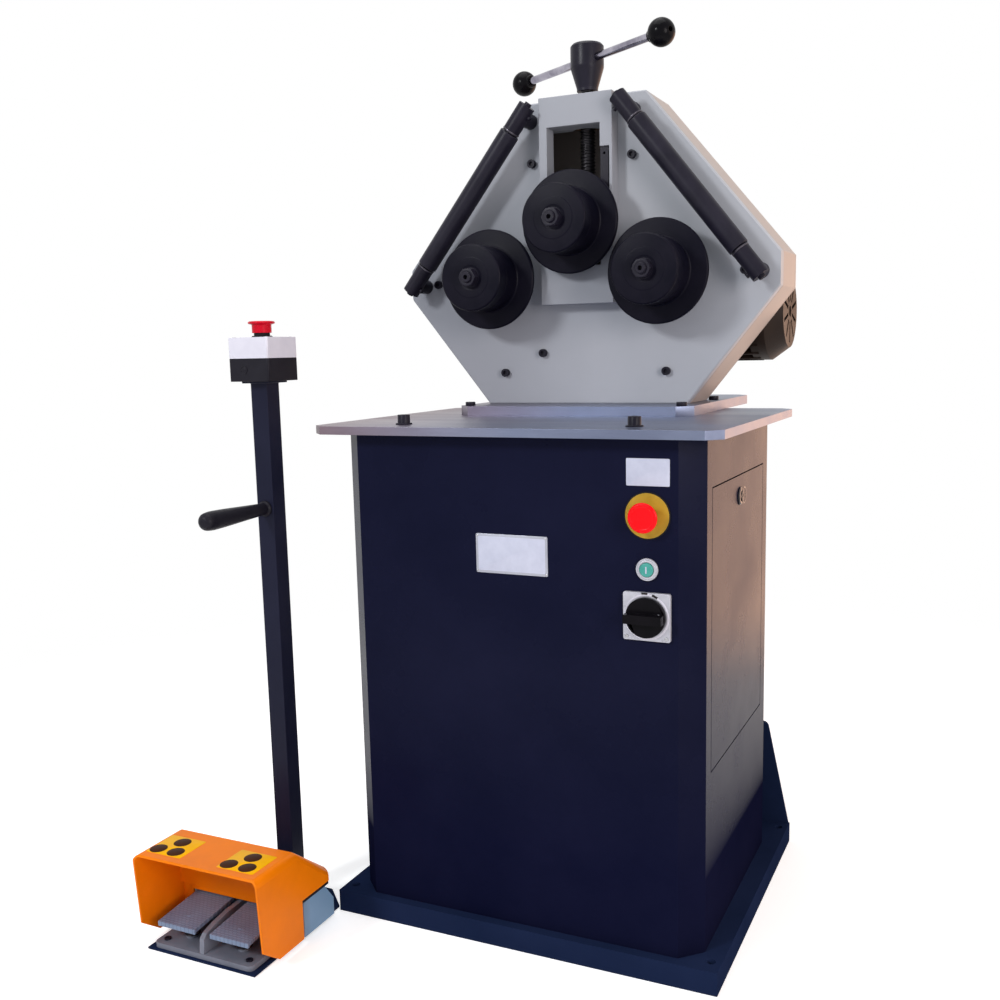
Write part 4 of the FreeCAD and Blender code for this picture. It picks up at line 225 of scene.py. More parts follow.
PAINT = {
    "navy_paint": finish("navy_paint", (0.004, 0.005, 0.020), (0.007, 0.008, 0.027), rough=(0.22, 0.34),
                         specular=0.1, relief=0.05, scale=5.0, speck=(0.020, 0.020, 0.032), speck_scale=90.0,
                         speck_share=0.75, gloss_drift=("Z", 0.14, 0.42, 0.0, 0.045)),
    "navy_base": finish("navy_base", (0.009, 0.016, 0.046), (0.014, 0.023, 0.064), rough=(0.3, 0.46),
                        specular=0.0, relief=0.25, scale=6.0, speck=(0.035, 0.037, 0.052), speck_scale=70.0,
                        speck_share=0.73),
    "console_navy": finish("console_navy", (0.008, 0.009, 0.024), (0.013, 0.014, 0.033), rough=(0.3, 0.45),
                           specular=0.1, relief=0.2, scale=7.0, speck=(0.04, 0.04, 0.055), speck_scale=90.0,
                           speck_share=0.73),
    # Towards the left of the front plate the cream goes darker: painted shade.
    "cream_paint": finish("cream_paint", (0.395, 0.41, 0.45), (0.445, 0.455, 0.495), rough=(0.4, 0.55),
                          specular=0.15, relief=0.16, scale=4.0, speck=(0.31, 0.29, 0.29), speck_scale=55.0,
                          speck_share=0.78, drift=("X", 0.02, -0.24, (0.31, 0.32, 0.36))),
    # The slide housing's cream paint, made darker: painted shade.
    "slide_paint_shaded": finish("slide_paint_shaded", (0.325, 0.335, 0.375), (0.365, 0.375, 0.415), rough=(0.4, 0.55),
                          specular=0.15, relief=0.16, scale=4.0, speck=(0.25, 0.23, 0.23), speck_scale=55.0,
                          speck_share=0.78),
    # The head housing's cream paint, tinted warm: painted warm light from the right.
    "housing_paint_warm_lit": finish("housing_paint_warm_lit", (0.40, 0.345, 0.32), (0.45, 0.39, 0.36), rough=(0.4, 0.55),
                            specular=0.15, relief=0.16, scale=4.0, speck=(0.31, 0.25, 0.22), speck_scale=55.0,
                            speck_share=0.78),
    # Towards the left the machined steel turns warm brown: a painted warm reflection.
    "machined_steel": finish("machined_steel", (0.15, 0.172, 0.255), (0.22, 0.25, 0.35), rough=(0.30, 0.46),
                             metallic=0.85, scale=14.0, stretch=(0.25, 1.6, 1), grain=900.0,
                             grain_stretch=(0.03, 1, 1), relief=0.35, speck=(0.12, 0.10, 0.10),
                             speck_scale=20.0, speck_share=0.70,
                             drift=("X", 0.02, -0.34, (0.19, 0.125, 0.14))),
    "black_steel": finish("black_steel", (0.007, 0.006, 0.013), (0.014, 0.012, 0.022), rough=(0.32, 0.46),
                          scale=20.0, relief=0.2, specular=0.14, speck=(0.045, 0.04, 0.05),
                          speck_scale=120.0, speck_share=0.73),
    "bright_steel": finish("bright_steel", (0.35, 0.35, 0.37), (0.5, 0.5, 0.52), rough=(0.25, 0.38),
                           metallic=1.0, scale=30.0, grain_stretch=(1, 1, 0.05), relief=0.25),
    "oily_steel": finish("oily_steel", (0.03, 0.028, 0.03), (0.075, 0.072, 0.08), rough=(0.22, 0.38),
                         metallic=0.9, scale=40.0, relief=0.15),
    # The chrome's colour wanders between dark violet and near white: painted dark and bright reflections.
    "chrome": finish("chrome", (0.10, 0.09, 0.14), (0.52, 0.50, 0.57), rough=(0.08, 0.2), metallic=1.0,
                     scale=22.0, relief=0.0),
    "bronze": finish("bronze", (0.38, 0.22, 0.08), (0.52, 0.32, 0.13), rough=(0.28, 0.42), metallic=1.0,
                     scale=30.0, relief=0.2),
    "gear_steel": finish("gear_steel", (0.18, 0.18, 0.19), (0.30, 0.30, 0.31), rough=(0.22, 0.36),
                         metallic=1.0, scale=25.0, relief=0.2, speck=(0.07, 0.05, 0.03), speck_scale=40.0,
                         speck_share=0.62),
    "motor_black": finish("motor_black", (0.016, 0.010, 0.008), (0.030, 0.019, 0.014), rough=(0.42, 0.6),
                          scale=12.0, grain=500.0, relief=0.45, specular=0.12),
    "black_plastic": finish("black_plastic", (0.008, 0.007, 0.012), (0.013, 0.012, 0.018), rough=(0.36, 0.5),
                            scale=30.0, grain=1200.0, relief=0.35, specular=0.12),
    "knob_black": finish("knob_black", (0.002, 0.002, 0.003), (0.005, 0.004, 0.006), rough=(0.16, 0.28),
                         scale=25.0, relief=0.05, specular=0.07),
    "red_plastic": finish("red_plastic", (0.94, 0.002, 0.006), (1.0, 0.004, 0.010), rough=(0.26, 0.38),
                          scale=60.0, relief=0.06, specular=0.16),
    "red_crimson": finish("red_crimson", (0.52, 0.002, 0.014), (0.64, 0.004, 0.022), rough=(0.26, 0.38),
                          scale=60.0, relief=0.06, specular=0.12),
    "yellow_plastic": finish("yellow_plastic", (0.42, 0.26, 0.022), (0.52, 0.33, 0.035), rough=(0.3, 0.42),
                             scale=60.0, relief=0.08, specular=0.2),
    "green_plastic": finish("green_plastic", (0.045, 0.31, 0.27), (0.07, 0.37, 0.32), rough=(0.24, 0.34),
                            scale=80.0, relief=0.05, specular=0.35),
    "white_plastic": finish("white_plastic", (0.70, 0.68, 0.77), (0.76, 0.74, 0.83), rough=(0.28, 0.4),
                            scale=40.0, grain=1200.0, relief=0.15, specular=0.35),
    "silver_plastic": finish("silver_plastic", (0.44, 0.44, 0.50), (0.55, 0.55, 0.61), rough=(0.26, 0.38),
                             metallic=0.3, scale=60.0, relief=0.06, specular=0.4),
    "orange_paint": finish("orange_paint", (0.80, 0.180, 0.001), (0.92, 0.215, 0.002), rough=(0.28, 0.4),
                           scale=12.0, relief=0.12, specular=0.10, speck=(0.66, 0.13, 0.002),
                           speck_scale=120.0, speck_share=0.77),
    # Towards the rear the grey casting turns blue: a painted blue reflection.
    "grey_cast": finish("grey_cast", (0.135, 0.145, 0.185), (0.19, 0.20, 0.25), rough=(0.4, 0.6), scale=18.0,
                        grain=420.0, relief=0.6, specular=0.3, speck=(0.09, 0.09, 0.11), speck_scale=80.0,
                        speck_share=0.7, drift=("Y", -0.37, -0.33, (0.20, 0.33, 0.50))),
    # The third colour is the painted shade in the tread's grooves.
    "pedal_grey": tread_finish("pedal_grey", (0.15, 0.20, 0.31), (0.21, 0.27, 0.39), (0.075, 0.085, 0.15),
                               rough=(0.42, 0.6), scale=30.0, grain=600.0, relief=0.4, specular=0.3),
    "zinc_panel": finish("zinc_panel", (0.38, 0.39, 0.40), (0.50, 0.51, 0.53), rough=(0.4, 0.55), scale=9.0,
                         relief=0.15, specular=0.3,
                         drift=("X", PANEL_SKIN, PANEL_SKIN + PANEL_FADE, (0.035, 0.036, 0.042))),
    "turned_black": turned_finish("turned_black", (0.003, 0.003, 0.008), (0.008, 0.007, 0.014),
                                  rough=(0.28, 0.42), scale=18.0, specular=0.06),
    "guide_black": turned_finish("guide_black", (0.009, 0.008, 0.015), (0.018, 0.016, 0.028),
                                 rough=(0.3, 0.42), scale=18.0, specular=0.15),
    # Lighter, half-metallic colour for chamfers, rims and collars: a painted edge highlight.
    "painted_edge_highlight": turned_finish("painted_edge_highlight", (0.035, 0.032, 0.045), (0.10, 0.09, 0.11), rough=(0.25, 0.4),
                               metallic=0.6, scale=40.0),
    "sticker_yellow": finish("sticker_yellow", (0.90, 0.43, 0.001), (0.98, 0.49, 0.002), rough=(0.3, 0.4),
                             scale=40.0, relief=0.03, specular=0.05),
    "print_brown": finish("print_brown", (0.035, 0.010, 0.003), (0.06, 0.018, 0.006), rough=(0.35, 0.45),
                          scale=60.0, relief=0.03, specular=0.03),
    # Black for printed marks, and for the painted shade of the lock's keyhole.
    "print_black_and_hole_shade": finish("print_black_and_hole_shade", (0.010, 0.008, 0.008), (0.022, 0.018, 0.018), rough=(0.3, 0.4),
                          scale=60.0, relief=0.03, specular=0.2),
    "plate_bare": finish("plate_bare", (0.36, 0.37, 0.44), (0.44, 0.45, 0.52), rough=(0.28, 0.38),
                         metallic=0.4, scale=30.0, stretch=(0.2, 1, 1), relief=0.06),
    "plate_white": finish("plate_white", (0.52, 0.54, 0.67), (0.60, 0.62, 0.75), rough=(0.3, 0.4), scale=50.0,
                          relief=0.04, specular=0.25),
    # Black rubber for bellows and gaskets, also used for the painted shadow ring round the e-stop collar.
    "black_rubber_and_shadow": finish("black_rubber_and_shadow", (0.006, 0.005, 0.007), (0.011, 0.010, 0.012), rough=(0.6, 0.75), scale=40.0,
                     relief=0.3, specular=0.15),
}

NODE_FINISH = {
    "base_plate": "navy_base", "cabinet_shell": "navy_paint", "cabinet_back_cover": "navy_paint",
    "cabinet_door": "navy_paint", "table_plate": "machined_steel", "sole_plate": "machined_steel",
    "cap_screws": "black_steel", "front_plate": "cream_paint", "head_housing": "housing_paint_warm_lit",
    "housing_rear_cover": "housing_paint_warm_lit", "slide_housing": "slide_paint_shaded", "slide_gib": "black_steel",
    "feed_nut": "bronze", "roll_bearings": "bright_steel", "gearbox_case": "motor_black",
    "motor_body": "motor_black", "motor_fan_cover": "motor_black", "terminal_box": "motor_black",
    "guide_studs": "black_steel", "guide_shafts": "black_steel", "estop_collar": "yellow_plastic",
    "start_bezel": "silver_plastic", "switch_plate": "silver_plastic", "electrical_panel": "zinc_panel",
    "carriage": "oily_steel", "feed_screw": "oily_steel", "handle_hub": "black_steel",
    "handle_bar": "chrome", "ball_knobs": "knob_black", "top_roll_shaft": "black_steel",
    "top_roll": "black_steel", "top_roll_nut": "guide_black", "left_roll_shaft": "black_steel",
    "left_roll": "black_steel", "left_roll_nut": "guide_black", "left_gear": "gear_steel",
    "right_roll_shaft": "black_steel", "right_roll": "black_steel", "right_roll_nut": "guide_black",
    "right_gear": "gear_steel", "drive_pinion": "gear_steel", "motor_fan": "black_plastic",
    "left_guide_sleeve": "black_steel", "right_guide_sleeve": "black_steel", "door_lock": "oily_steel",
    "estop_stem": "black_plastic", "estop_cap": "red_plastic", "start_button": "green_plastic",
    "switch_knob": "knob_black", "console_base_plate": "navy_base", "console_pole": "console_navy",
    "console_handle": "black_plastic", "pedal_base": "grey_cast", "pedal_guard": "orange_paint",
    "console_box": "black_plastic", "console_lid": "white_plastic", "left_pedal": "pedal_grey",
    "right_pedal": "pedal_grey", "console_estop_stem": "black_plastic", "console_estop_cap": "red_plastic",
}


def dress(obj, *names):
    """Gives a piece its finishes, in the order of its faces' material numbers."""
    obj.data.materials.clear()
    for name in names:
        obj.data.materials.append(PAINT[name])


for node_name, node in NODES.items():
    dress(node, NODE_FINISH[node_name])


EASE_ANGLE = 32.0
FLAT_ANGLE = 0.6
WELD_DISTANCE = 0.00001


def ease(name, width):
    """Breaks a CAD piece's sharp edges, so that they catch the light as a painted or filed edge does."""
    node = NODES[name]
    weld = node.modifiers.new("weld", "WELD")
    weld.merge_threshold = WELD_DISTANCE
    flat = node.modifiers.new("flat", "DECIMATE")
    flat.decimate_type = "DISSOLVE"
    flat.angle_limit = math.radians(FLAT_ANGLE)
    edge = node.modifiers.new("edge", "BEVEL")
    edge.width = width
    edge.segments = 2
    edge.limit_method = "ANGLE"
    edge.angle_limit = math.radians(EASE_ANGLE)
    edge.harden_normals = True


for node_name, width in (("base_plate", 0.0012), ("cabinet_shell", 0.001), ("cabinet_door", 0.0008),
                         ("table_plate", 0.0008), ("sole_plate", 0.0008), ("front_plate", 0.0012),
                         ("head_housing", 0.001), ("slide_housing", 0.001), ("slide_gib", 0.0006),
                         ("pedal_guard", 0.0008), ("pedal_base", 0.0012), ("left_pedal", 0.0009),
                         ("right_pedal", 0.0009), ("console_pole", 0.0012), ("console_box", 0.0008),
                         ("console_lid", 0.0012), ("switch_plate", 0.0007), ("switch_knob", 0.0009),
                         ("start_bezel", 0.0006), ("estop_collar", 0.0004), ("console_base_plate", 0.0006),
                         ("top_roll_nut", 0.0006), ("left_roll_nut", 0.0006), ("right_roll_nut", 0.0006),
                         ("cap_screws", 0.0005), ("door_lock", 0.0005)):
    ease(node_name, width)


# ---------------------------------------------------------------- pieces in mesh code

SMOOTH_ANGLE = 35.0


def add_piece(name, mesh, body, matrix, finishes, stands_for=(), smooth=SMOOTH_ANGLE):
    """Puts a mesh in place, dresses it and lets it ride a body; it may stand for CAD nodes."""
    mesh.validate()
    obj = bpy.data.objects.new(name, mesh)
    bpy.context.scene.collection.objects.link(obj)
    obj.matrix_world = matrix
    dress(obj, *finishes)
    mesh.polygons.foreach_set("use_smooth", [True] * len(mesh.polygons))
    mesh.set_sharp_from_angle(angle=math.radians(smooth))
    bpy.context.view_layer.update()
    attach(obj, body)
    if stands_for:
        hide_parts(*stands_for)
    return obj


def towards(at, axis):
    """Matrix of a piece whose own Z runs along an axis from a point of the part, in mm.

    Where the axis lies level, the piece's own Y points up.
    """
    out = Vector(axis).normalized()
    side = Z_AXIS.cross(out)
    side = side.normalized() if side.length > 1e-6 else X_AXIS
    turn = Matrix((side, out.cross(side), out)).transposed().to_4x4()
    return Matrix.Translation(Vector(at) * MM) @ turn


def circle_row(made, radius, height, around):
    """A ring of vertices round a piece's own Z; sizes in mm."""
    row = []
    for k in range(around):
        angle = 2 * math.pi * k / around
        spot = Vector((radius * math.cos(angle), radius * math.sin(angle), height))
        row.append(made.verts.new(spot * MM))
    return row


def bridge(made, low, high, tone=0):
    """Faces between two rings; a ring of one vertex closes to a point."""
    around = max(len(low), len(high))
    for k in range(around):
        m = (k + 1) % around
        corners = [low[k % len(low)], low[m % len(low)], high[m % len(high)], high[k % len(high)]]
        unique = list(dict.fromkeys(corners))
        if len(unique) > 2:
            made.faces.new(unique).material_index = tone


def rounded(points, steps=3):
    """Profile points (radius, height, corner, finish) in mm; corners over zero become small arcs."""
    result = []
    count = len(points)
    for i, (r, h, corner, tone) in enumerate(points):
        if corner <= 0 or i in (0, count - 1):
            result.append((r, h, tone))
            continue
        here = Vector((r, h))
        before = Vector(points[i - 1][:2]) - here
        after = Vector(points[i + 1][:2]) - here
        reach = min(corner, before.length * 0.45, after.length * 0.45)
        start = here + before.normalized() * reach
        stop = here + after.normalized() * reach
        for k in range(steps + 1):
            t = k / steps
            spot = start * (1 - t) ** 2 + here * 2 * t * (1 - t) + stop * t ** 2
            result.append((spot.x, spot.y, tone))
    return result


def turned(name, points, at, axis, body, finishes, stands_for=(), around=96, ring=False):
    """Surface of revolution. points run (radius, height, corner, finish number), all in mm.

    A ring's last point joins its first; any other profile stays open at its two ends.
    """
    profile = rounded(points)
    mesh = bpy.data.meshes.new(name)
    made = bmesh.new()
    rows = []
    for r, h, _ in profile:
        if r < 1e-6:
            rows.append([made.verts.new((0, 0, h * MM))])
        else:
            rows.append(circle_row(made, r, h, around))
    pairs = list(zip(range(len(rows) - 1), range(1, len(rows))))
    if ring:
        pairs.append((len(rows) - 1, 0))
    for low, high in pairs:
        bridge(made, rows[low], rows[high], profile[high][2])
    bmesh.ops.recalc_face_normals(made, faces=made.faces)
    made.to_mesh(mesh)
    made.free()
    return add_piece(name, mesh, body, towards(at, axis), finishes, stands_for)


def threaded(name, radius, depth, pitch, length, at, axis, body, finishes, around=40, slices=8,
             stands_for=()):
    """A real helical thread: the surface dips once per pitch all round, and its ends close inwards."""
    mesh = bpy.data.meshes.new(name)
    made = bmesh.new()
    count = int(length / pitch * slices)
    rows = [circle_row(made, radius - 2 * depth, 0, around)]
    for i in range(count + 1):
        height = length * i / count
        fade = min(1.0, (length - height) / pitch + 0.1, height / pitch + 0.1)
        row = []
        for k in range(around):
            phase = (height / pitch - k / around) % 1.0
            dip = depth * min(1.0, max(0.0, 3 * abs(phase - 0.5) - 0.35) / 0.8)
            r = (radius - depth + (depth - dip) * fade) * MM
            angle = 2 * math.pi * k / around
            row.append(made.verts.new((r * math.cos(angle), r * math.sin(angle), height * MM)))
        rows.append(row)
    rows.append(circle_row(made, radius - 2 * depth, length, around))
    for a, b in zip(rows, rows[1:]):
        bridge(made, a, b)
    made.to_mesh(mesh)
    made.free()
    return add_piece(name, mesh, body, towards(at, axis), finishes, stands_for, 50.0)


def coil(name, radius, wire, turns, height, at, body, finishes, steps=20, around=8):
    """A compression spring that stands on its own XY plane, with its end turns laid flat; in mm."""
    mesh = bpy.data.meshes.new(name)
    made = bmesh.new()
    count = turns * steps
    rows = []
    for i in range(count + 1):
        angle = 2 * math.pi * i / steps
        share = min(1.0, max(0.0, (i - steps) / (count - 2 * steps)))
        rise = wire + share * (height - 2 * wire)
        out = Vector((math.cos(angle), math.sin(angle), 0))
        middle = out * radius + Z_AXIS * rise
        row = []
        for k in range(around):
            turn = 2 * math.pi * k / around
            rim = out * math.cos(turn) + Z_AXIS * math.sin(turn)
            row.append(made.verts.new((middle + rim * wire) * MM))
        rows.append(row)
    for a, b in zip(rows, rows[1:]):
        bridge(made, a, b)
    for end in (rows[0], rows[-1]):
        made.faces.new(end)
    bmesh.ops.recalc_face_normals(made, faces=made.faces)
    made.to_mesh(mesh)
    made.free()
    return add_piece(name, mesh, body, towards(at, Z_AXIS), finishes, smooth=60.0)


SLAB_SHARP = 40


def slab(name, corners, depth, matrix, body, finishes, edge):
    """A flat plate with a polygon outline in its own XY, raised along its own Z, its edges broken; in mm."""
    mesh = bpy.data.meshes.new(name)
    made = bmesh.new()
    face = made.faces.new([made.verts.new((x * MM, y * MM, 0)) for x, y in corners])
    lifted = bmesh.ops.extrude_face_region(made, geom=[face])
    for vert in [g for g in lifted["geom"] if isinstance(g, bmesh.types.BMVert)]:
        vert.co.z += depth * MM
    bmesh.ops.recalc_face_normals(made, faces=made.faces)
    sharp = [e for e in made.edges if e.calc_face_angle(0) > math.radians(SLAB_SHARP)]
    bmesh.ops.bevel(made, geom=sharp, offset=edge * MM, segments=2, profile=0.5, affect="EDGES")
    made.to_mesh(mesh)
    made.free()
    return add_piece(name, mesh, body, matrix, finishes)


def round_rect(x0, x1, y0, y1, radius, steps=4):
    """Corners of a rectangle with rounded corners, in order."""
    result = []
    for cx, cy, start in ((x1 - radius, y0 + radius, -90), (x1 - radius, y1 - radius, 0),
                          (x0 + radius, y1 - radius, 90), (x0 + radius, y0 + radius, 180)):
        for k in range(steps + 1):
            angle = math.radians(start + 90 * k / steps)
            result.append((cx + radius * math.cos(angle), cy + radius * math.sin(angle)))
    return result


def disc_outline(radius, count=40):
    """Corners of a round plate, in order."""
    angles = [2 * math.pi * k / count for k in range(count)]
    return [(radius * math.cos(angle), radius * math.sin(angle)) for angle in angles]


def facing_front(x, y, z):
    """Matrix of a piece on a front face: own X to the right, own Y up, own Z towards the operator; in mm."""
    return Matrix(((1, 0, 0, x * MM), (0, 0, -1, y * MM), (0, 1, 0, z * MM), (0, 0, 0, 1)))


def facing_up(x, y, z):
    """Matrix of a piece that lies on a level face, with its axes as the part's; in mm."""
    return Matrix.Translation(Vector((x, y, z)) * MM)


def socket_screw(name, radius, height, at, axis, body, finishes=("black_steel",)):
    """Small round screw head with a socket in its end."""
    socket = radius * 0.5
    turned(name, [(radius, 0, 0, 0), (radius, height, 0.5, 0), (socket, height, 0.2, 0),
                  (socket, height * 0.4, 0, 0), (0, height * 0.4, 0, 0)], at, axis, body, finishes, around=24)


# ---------------------------------------------------------------- rolls and shaft ends

HUB_FRONT = low_end("top_roll", Y)
NUT_FRONT = low_end("top_roll_nut", Y)
ROLL_WIDTH = high_end("top_roll", Y) - HUB_FRONT
ROLL_FLANGE = half_size("top_roll", Z)
ROLL_HUB = 50.5
ROLL_BORE = 15
ROLL_EDGE = 1.9
FLANGE_START = ROLL_WIDTH - 7
SHAFT_END = 8.5
SHAFT_STICK = 4.4
THREAD_DEPTH = 0.4
THREAD_PITCH = 1.75
WASHER_RADIUS = 12.9
WASHER_BORE = 8.3
WASHER_DEPTH = 0.9
# Finish number 1 marks the chamfers, which carry the painted edge highlight.
ROLL_PROFILE = [(ROLL_BORE, 0, 0, 0), (17.5, 0, 0, 0), (19, -0.4, 0.4, 0), (30, -0.4, 0.3, 0),
                (31, 0, 0.4, 0), (ROLL_HUB - ROLL_EDGE, 0, 0.4, 0), (ROLL_HUB, ROLL_EDGE, 0.7, 1),
                (ROLL_HUB, 24, 0, 0), (50.2, 24.3, 0, 0), (50.2, 25, 0, 0), (ROLL_HUB, 25.3, 0, 0),
                (ROLL_HUB, 61.6, 0, 0), (52, FLANGE_START, 1.2, 0),
                (ROLL_FLANGE - ROLL_EDGE, FLANGE_START, 0.6, 0),
                (ROLL_FLANGE, FLANGE_START + ROLL_EDGE, 0.8, 1), (ROLL_FLANGE, ROLL_WIDTH - 1.6, 0, 0),
                (ROLL_FLANGE - 1.7, ROLL_WIDTH, 0.8, 1), (ROLL_BORE, ROLL_WIDTH, 0, 0)]
WASHER_PROFILE = [(WASHER_RADIUS, 0, 0, 0), (WASHER_RADIUS, WASHER_DEPTH, 0.3, 0),
                  (WASHER_BORE, WASHER_DEPTH, 0.3, 0), (WASHER_BORE, 0, 0, 0)]
for side in ("left", "right", "top"):
    x = centre(f"{side}_roll_nut", X)
    z = centre(f"{side}_roll_nut", Z)
    turned(f"{side}_roll_turned", ROLL_PROFILE, (x, HUB_FRONT, z), Y_AXIS, f"{side}_roll",
           ("turned_black", "painted_edge_highlight"), (f"{side}_roll",), around=128, ring=True)
    threaded(f"{side}_shaft_thread", SHAFT_END, THREAD_DEPTH, THREAD_PITCH, SHAFT_STICK, (x, NUT_FRONT, z),
             -Y_AXIS, f"{side}_roll", ("black_steel",))
    turned(f"{side}_nut_washer", WASHER_PROFILE, (x, NUT_FRONT, z), -Y_AXIS, f"{side}_roll",
           ("guide_black",), around=64)


# ---------------------------------------------------------------- guide rollers

GUIDE_Y = centre("right_guide_sleeve", Y)
GUIDE_TOP = Vector((72.8, GUIDE_Y, 1233))
GUIDE_FOOT = Vector((289, GUIDE_Y, 961))
GUIDE_AXIS = (GUIDE_FOOT - GUIDE_TOP).normalized()
SLEEVE_START = 48
SLEEVE_LENGTH = 248
SLEEVE_RADIUS = half_size("right_guide_sleeve", Y)
SLEEVE_BORE = 9.7
SLEEVE_EDGE = 1.1
EYE_REACH = 13
EYE_RADIUS = 12.9
COLLAR_STARTS = {"top": 43.5, "foot": SLEEVE_START + SLEEVE_LENGTH + 2}
COLLAR_PROFILE = [(13.4, 0, 0, 0), (14.1, 0.3, 0.2, 0), (14.1, 2.2, 0.2, 0), (13.4, 2.5, 0, 0)]
# Finish number 1 marks the sleeve's end chamfers, which carry the painted edge highlight.
SLEEVE_PROFILE = [(SLEEVE_BORE, 0, 0, 0), (SLEEVE_RADIUS - SLEEVE_EDGE, 0, 0.3, 0),
                  (SLEEVE_RADIUS, SLEEVE_EDGE, 0.5, 1), (SLEEVE_RADIUS, 3, 0, 0),
                  (SLEEVE_RADIUS, SLEEVE_LENGTH - SLEEVE_EDGE, 0.3, 0),
                  (SLEEVE_RADIUS - SLEEVE_EDGE, SLEEVE_LENGTH, 0.4, 1), (SLEEVE_BORE, SLEEVE_LENGTH, 0, 0)]


def sided(place, sign):
    """A place or a direction of the right guide, mirrored for the left one where sign is minus one."""
    return Vector((place.x * sign, place.y, place.z))


for side, sign in (("left", -1), ("right", 1)):
    axis = sided(GUIDE_AXIS, sign)
    inward = Vector((axis.z * sign, 0, -axis.x * sign))
    top = sided(GUIDE_TOP, sign)
    foot = sided(GUIDE_FOOT, sign)
    turned(f"{side}_guide_tube", SLEEVE_PROFILE, top + axis * SLEEVE_START, axis, f"{side}_guide",
           ("guide_black", "painted_edge_highlight"), (f"{side}_guide_sleeve",), around=64, ring=True)
    for end, at, out in (("top", top, -1), ("foot", foot, 1)):
        socket_screw(f"{side}_guide_{end}_bolt", 5.5, 4.5, at, axis * out, "machine")
        eye = at - axis * out * EYE_REACH
        socket_screw(f"{side}_guide_{end}_set_screw", 4, 4, eye + inward * EYE_RADIUS, inward, "machine")
        # The collars are dressed wholly in the painted edge highlight, as thin light rings.
        turned(f"{side}_guide_{end}_collar", COLLAR_PROFILE, top + axis * COLLAR_STARTS[end], axis, "machine",
               ("painted_edge_highlight",), around=48)


# ---------------------------------------------------------------- feed screw and cross handle

SCREW_Y = centre("feed_screw", Y)
CARRIAGE_TOP = high_end("carriage", Z)
GRIP_Z = low_end("handle_hub", Z)
BAR_Z = centre("handle_bar", Z)
BALL_RADIUS = half_size("ball_knobs", Z)
BALL_REACH = 173
FEED_RADIUS = 12
FEED_PITCH = 5
BALL_STEPS = 18
BALL_START = -71.5
BALL_SWEEP = 149
BAR_COLLAR_BACK = 23
HANDLE_TURN = math.radians(-31.5)
FEED_THREAD_DEPTH = 1.7
FEED_SUNK = 10
FEED_COLLAR_SUNK = 26
FEED_COLLAR = [(0, 0, 0, 0), (9.9, 0, 0.5, 0), (9.9, 8, 0.3, 0), (15.9, 8, 0.5, 0), (15.9, 16, 0.5, 0),
               (10, 16, 0, 0)]
# Finish number 1 on the hub's top rim is the painted edge highlight.
HANDLE_HUB = [(0, 0, 0, 0), (16.5, 0, 0.3, 0), (16.5, 4, 2.0, 0), (26, 35, 2.5, 0), (26, 66.5, 0.6, 1),
              (22.5, 70.5, 1.2, 0), (8.5, 71, 0.4, 0), (8.5, 69.6, 0.2, 0), (0, 69.6, 0, 0)]
BAR_COLLAR = [(6.05, 0, 0, 0), (9.2, 0, 0.6, 0), (10.2, 5, 0, 0), (6.05, 5, 0, 0)]
threaded("feed_thread", FEED_RADIUS, FEED_THREAD_DEPTH, FEED_PITCH, GRIP_Z - CARRIAGE_TOP + FEED_SUNK,
         (0, SCREW_Y, CARRIAGE_TOP - FEED_SUNK), Z_AXIS, "feed", ("oily_steel",), around=48, slices=10,
         stands_for=("feed_screw",))
turned("feed_collar", FEED_COLLAR, (0, SCREW_Y, CARRIAGE_TOP - FEED_COLLAR_SUNK), Z_AXIS, "feed",
       ("oily_steel",))
turned("handle_hub_turned", HANDLE_HUB, (0, SCREW_Y, GRIP_Z), Z_AXIS, "feed", ("guide_black", "painted_edge_highlight"),
       ("handle_hub",), around=80)
bar_way = Vector((math.cos(HANDLE_TURN), math.sin(HANDLE_TURN), 0))
ball_bend = [math.radians(BALL_START + BALL_SWEEP * k / BALL_STEPS) for k in range(BALL_STEPS + 1)]
ball_skin = [(BALL_RADIUS * math.cos(angle), BALL_RADIUS * math.sin(angle), 0, 0) for angle in ball_bend]
ball_profile = [(6.1, -19.2, 0, 0)] + ball_skin + [(3.6, 19.5, 0.2, 0), (3.6, 12, 0, 0), (0, 12, 0, 0)]
for side, way in (("left", -1), ("right", 1)):
    middle = Vector((0, SCREW_Y, BAR_Z)) + bar_way * BALL_REACH * way
    turned(f"{side}_ball", ball_profile, middle, bar_way * way, "feed", ("knob_black",), ("ball_knobs",),
           around=48)
    turned(f"{side}_bar_collar", BAR_COLLAR, middle - bar_way * way * BAR_COLLAR_BACK, bar_way * way, "feed",
           ("knob_black",), around=32)


# ---------------------------------------------------------------- controls on the cabinet's front

CAB_FRONT = low_end("cabinet_shell", Y)
CONTROL_X = centre("switch_plate", X)
ESTOP_Z = centre("estop_collar", Z)
START_Z = centre("start_bezel", Z)
SWITCH_Z = centre("switch_plate", Z)
SWITCH_FRONT = low_end("switch_plate", Y)
CAP_STAND = CAB_FRONT - high_end("estop_cap", Y)
BUTTON_STAND = 4
KNOB_FRONT = SWITCH_FRONT - 7.2
SWITCH_SCREW = 27.5
CAP_PROFILE = [(11.9, 6, 0, 0), (11.9, 0, 0.2, 0), (14.5, 0, 0.5, 0), (14.5, 12.3, 1.2, 0),
               (18.6, 13.2, 0.6, 0), (20, 14.4, 0.7, 0), (20, 15.6, 0.7, 0), (18.4, 17.2, 1.2, 0),
               (15.4, 17.5, 0.6, 0), (14.6, 17.0, 0.5, 0), (0, 16.6, 0, 0)]
ESTOP_SHADOW_PROFILE = [(29.6, 0, 0, 0), (31.8, 0, 0.2, 0), (31.8, 1.6, 0.5, 0), (29.6, 1.9, 0, 0)]
CAP_SLEEVE = [(11.2, 0.3, 0, 0), (11.7, 0.3, 0, 0), (11.7, 6.2, 0.1, 0), (11.2, 6.2, 0.1, 0)]
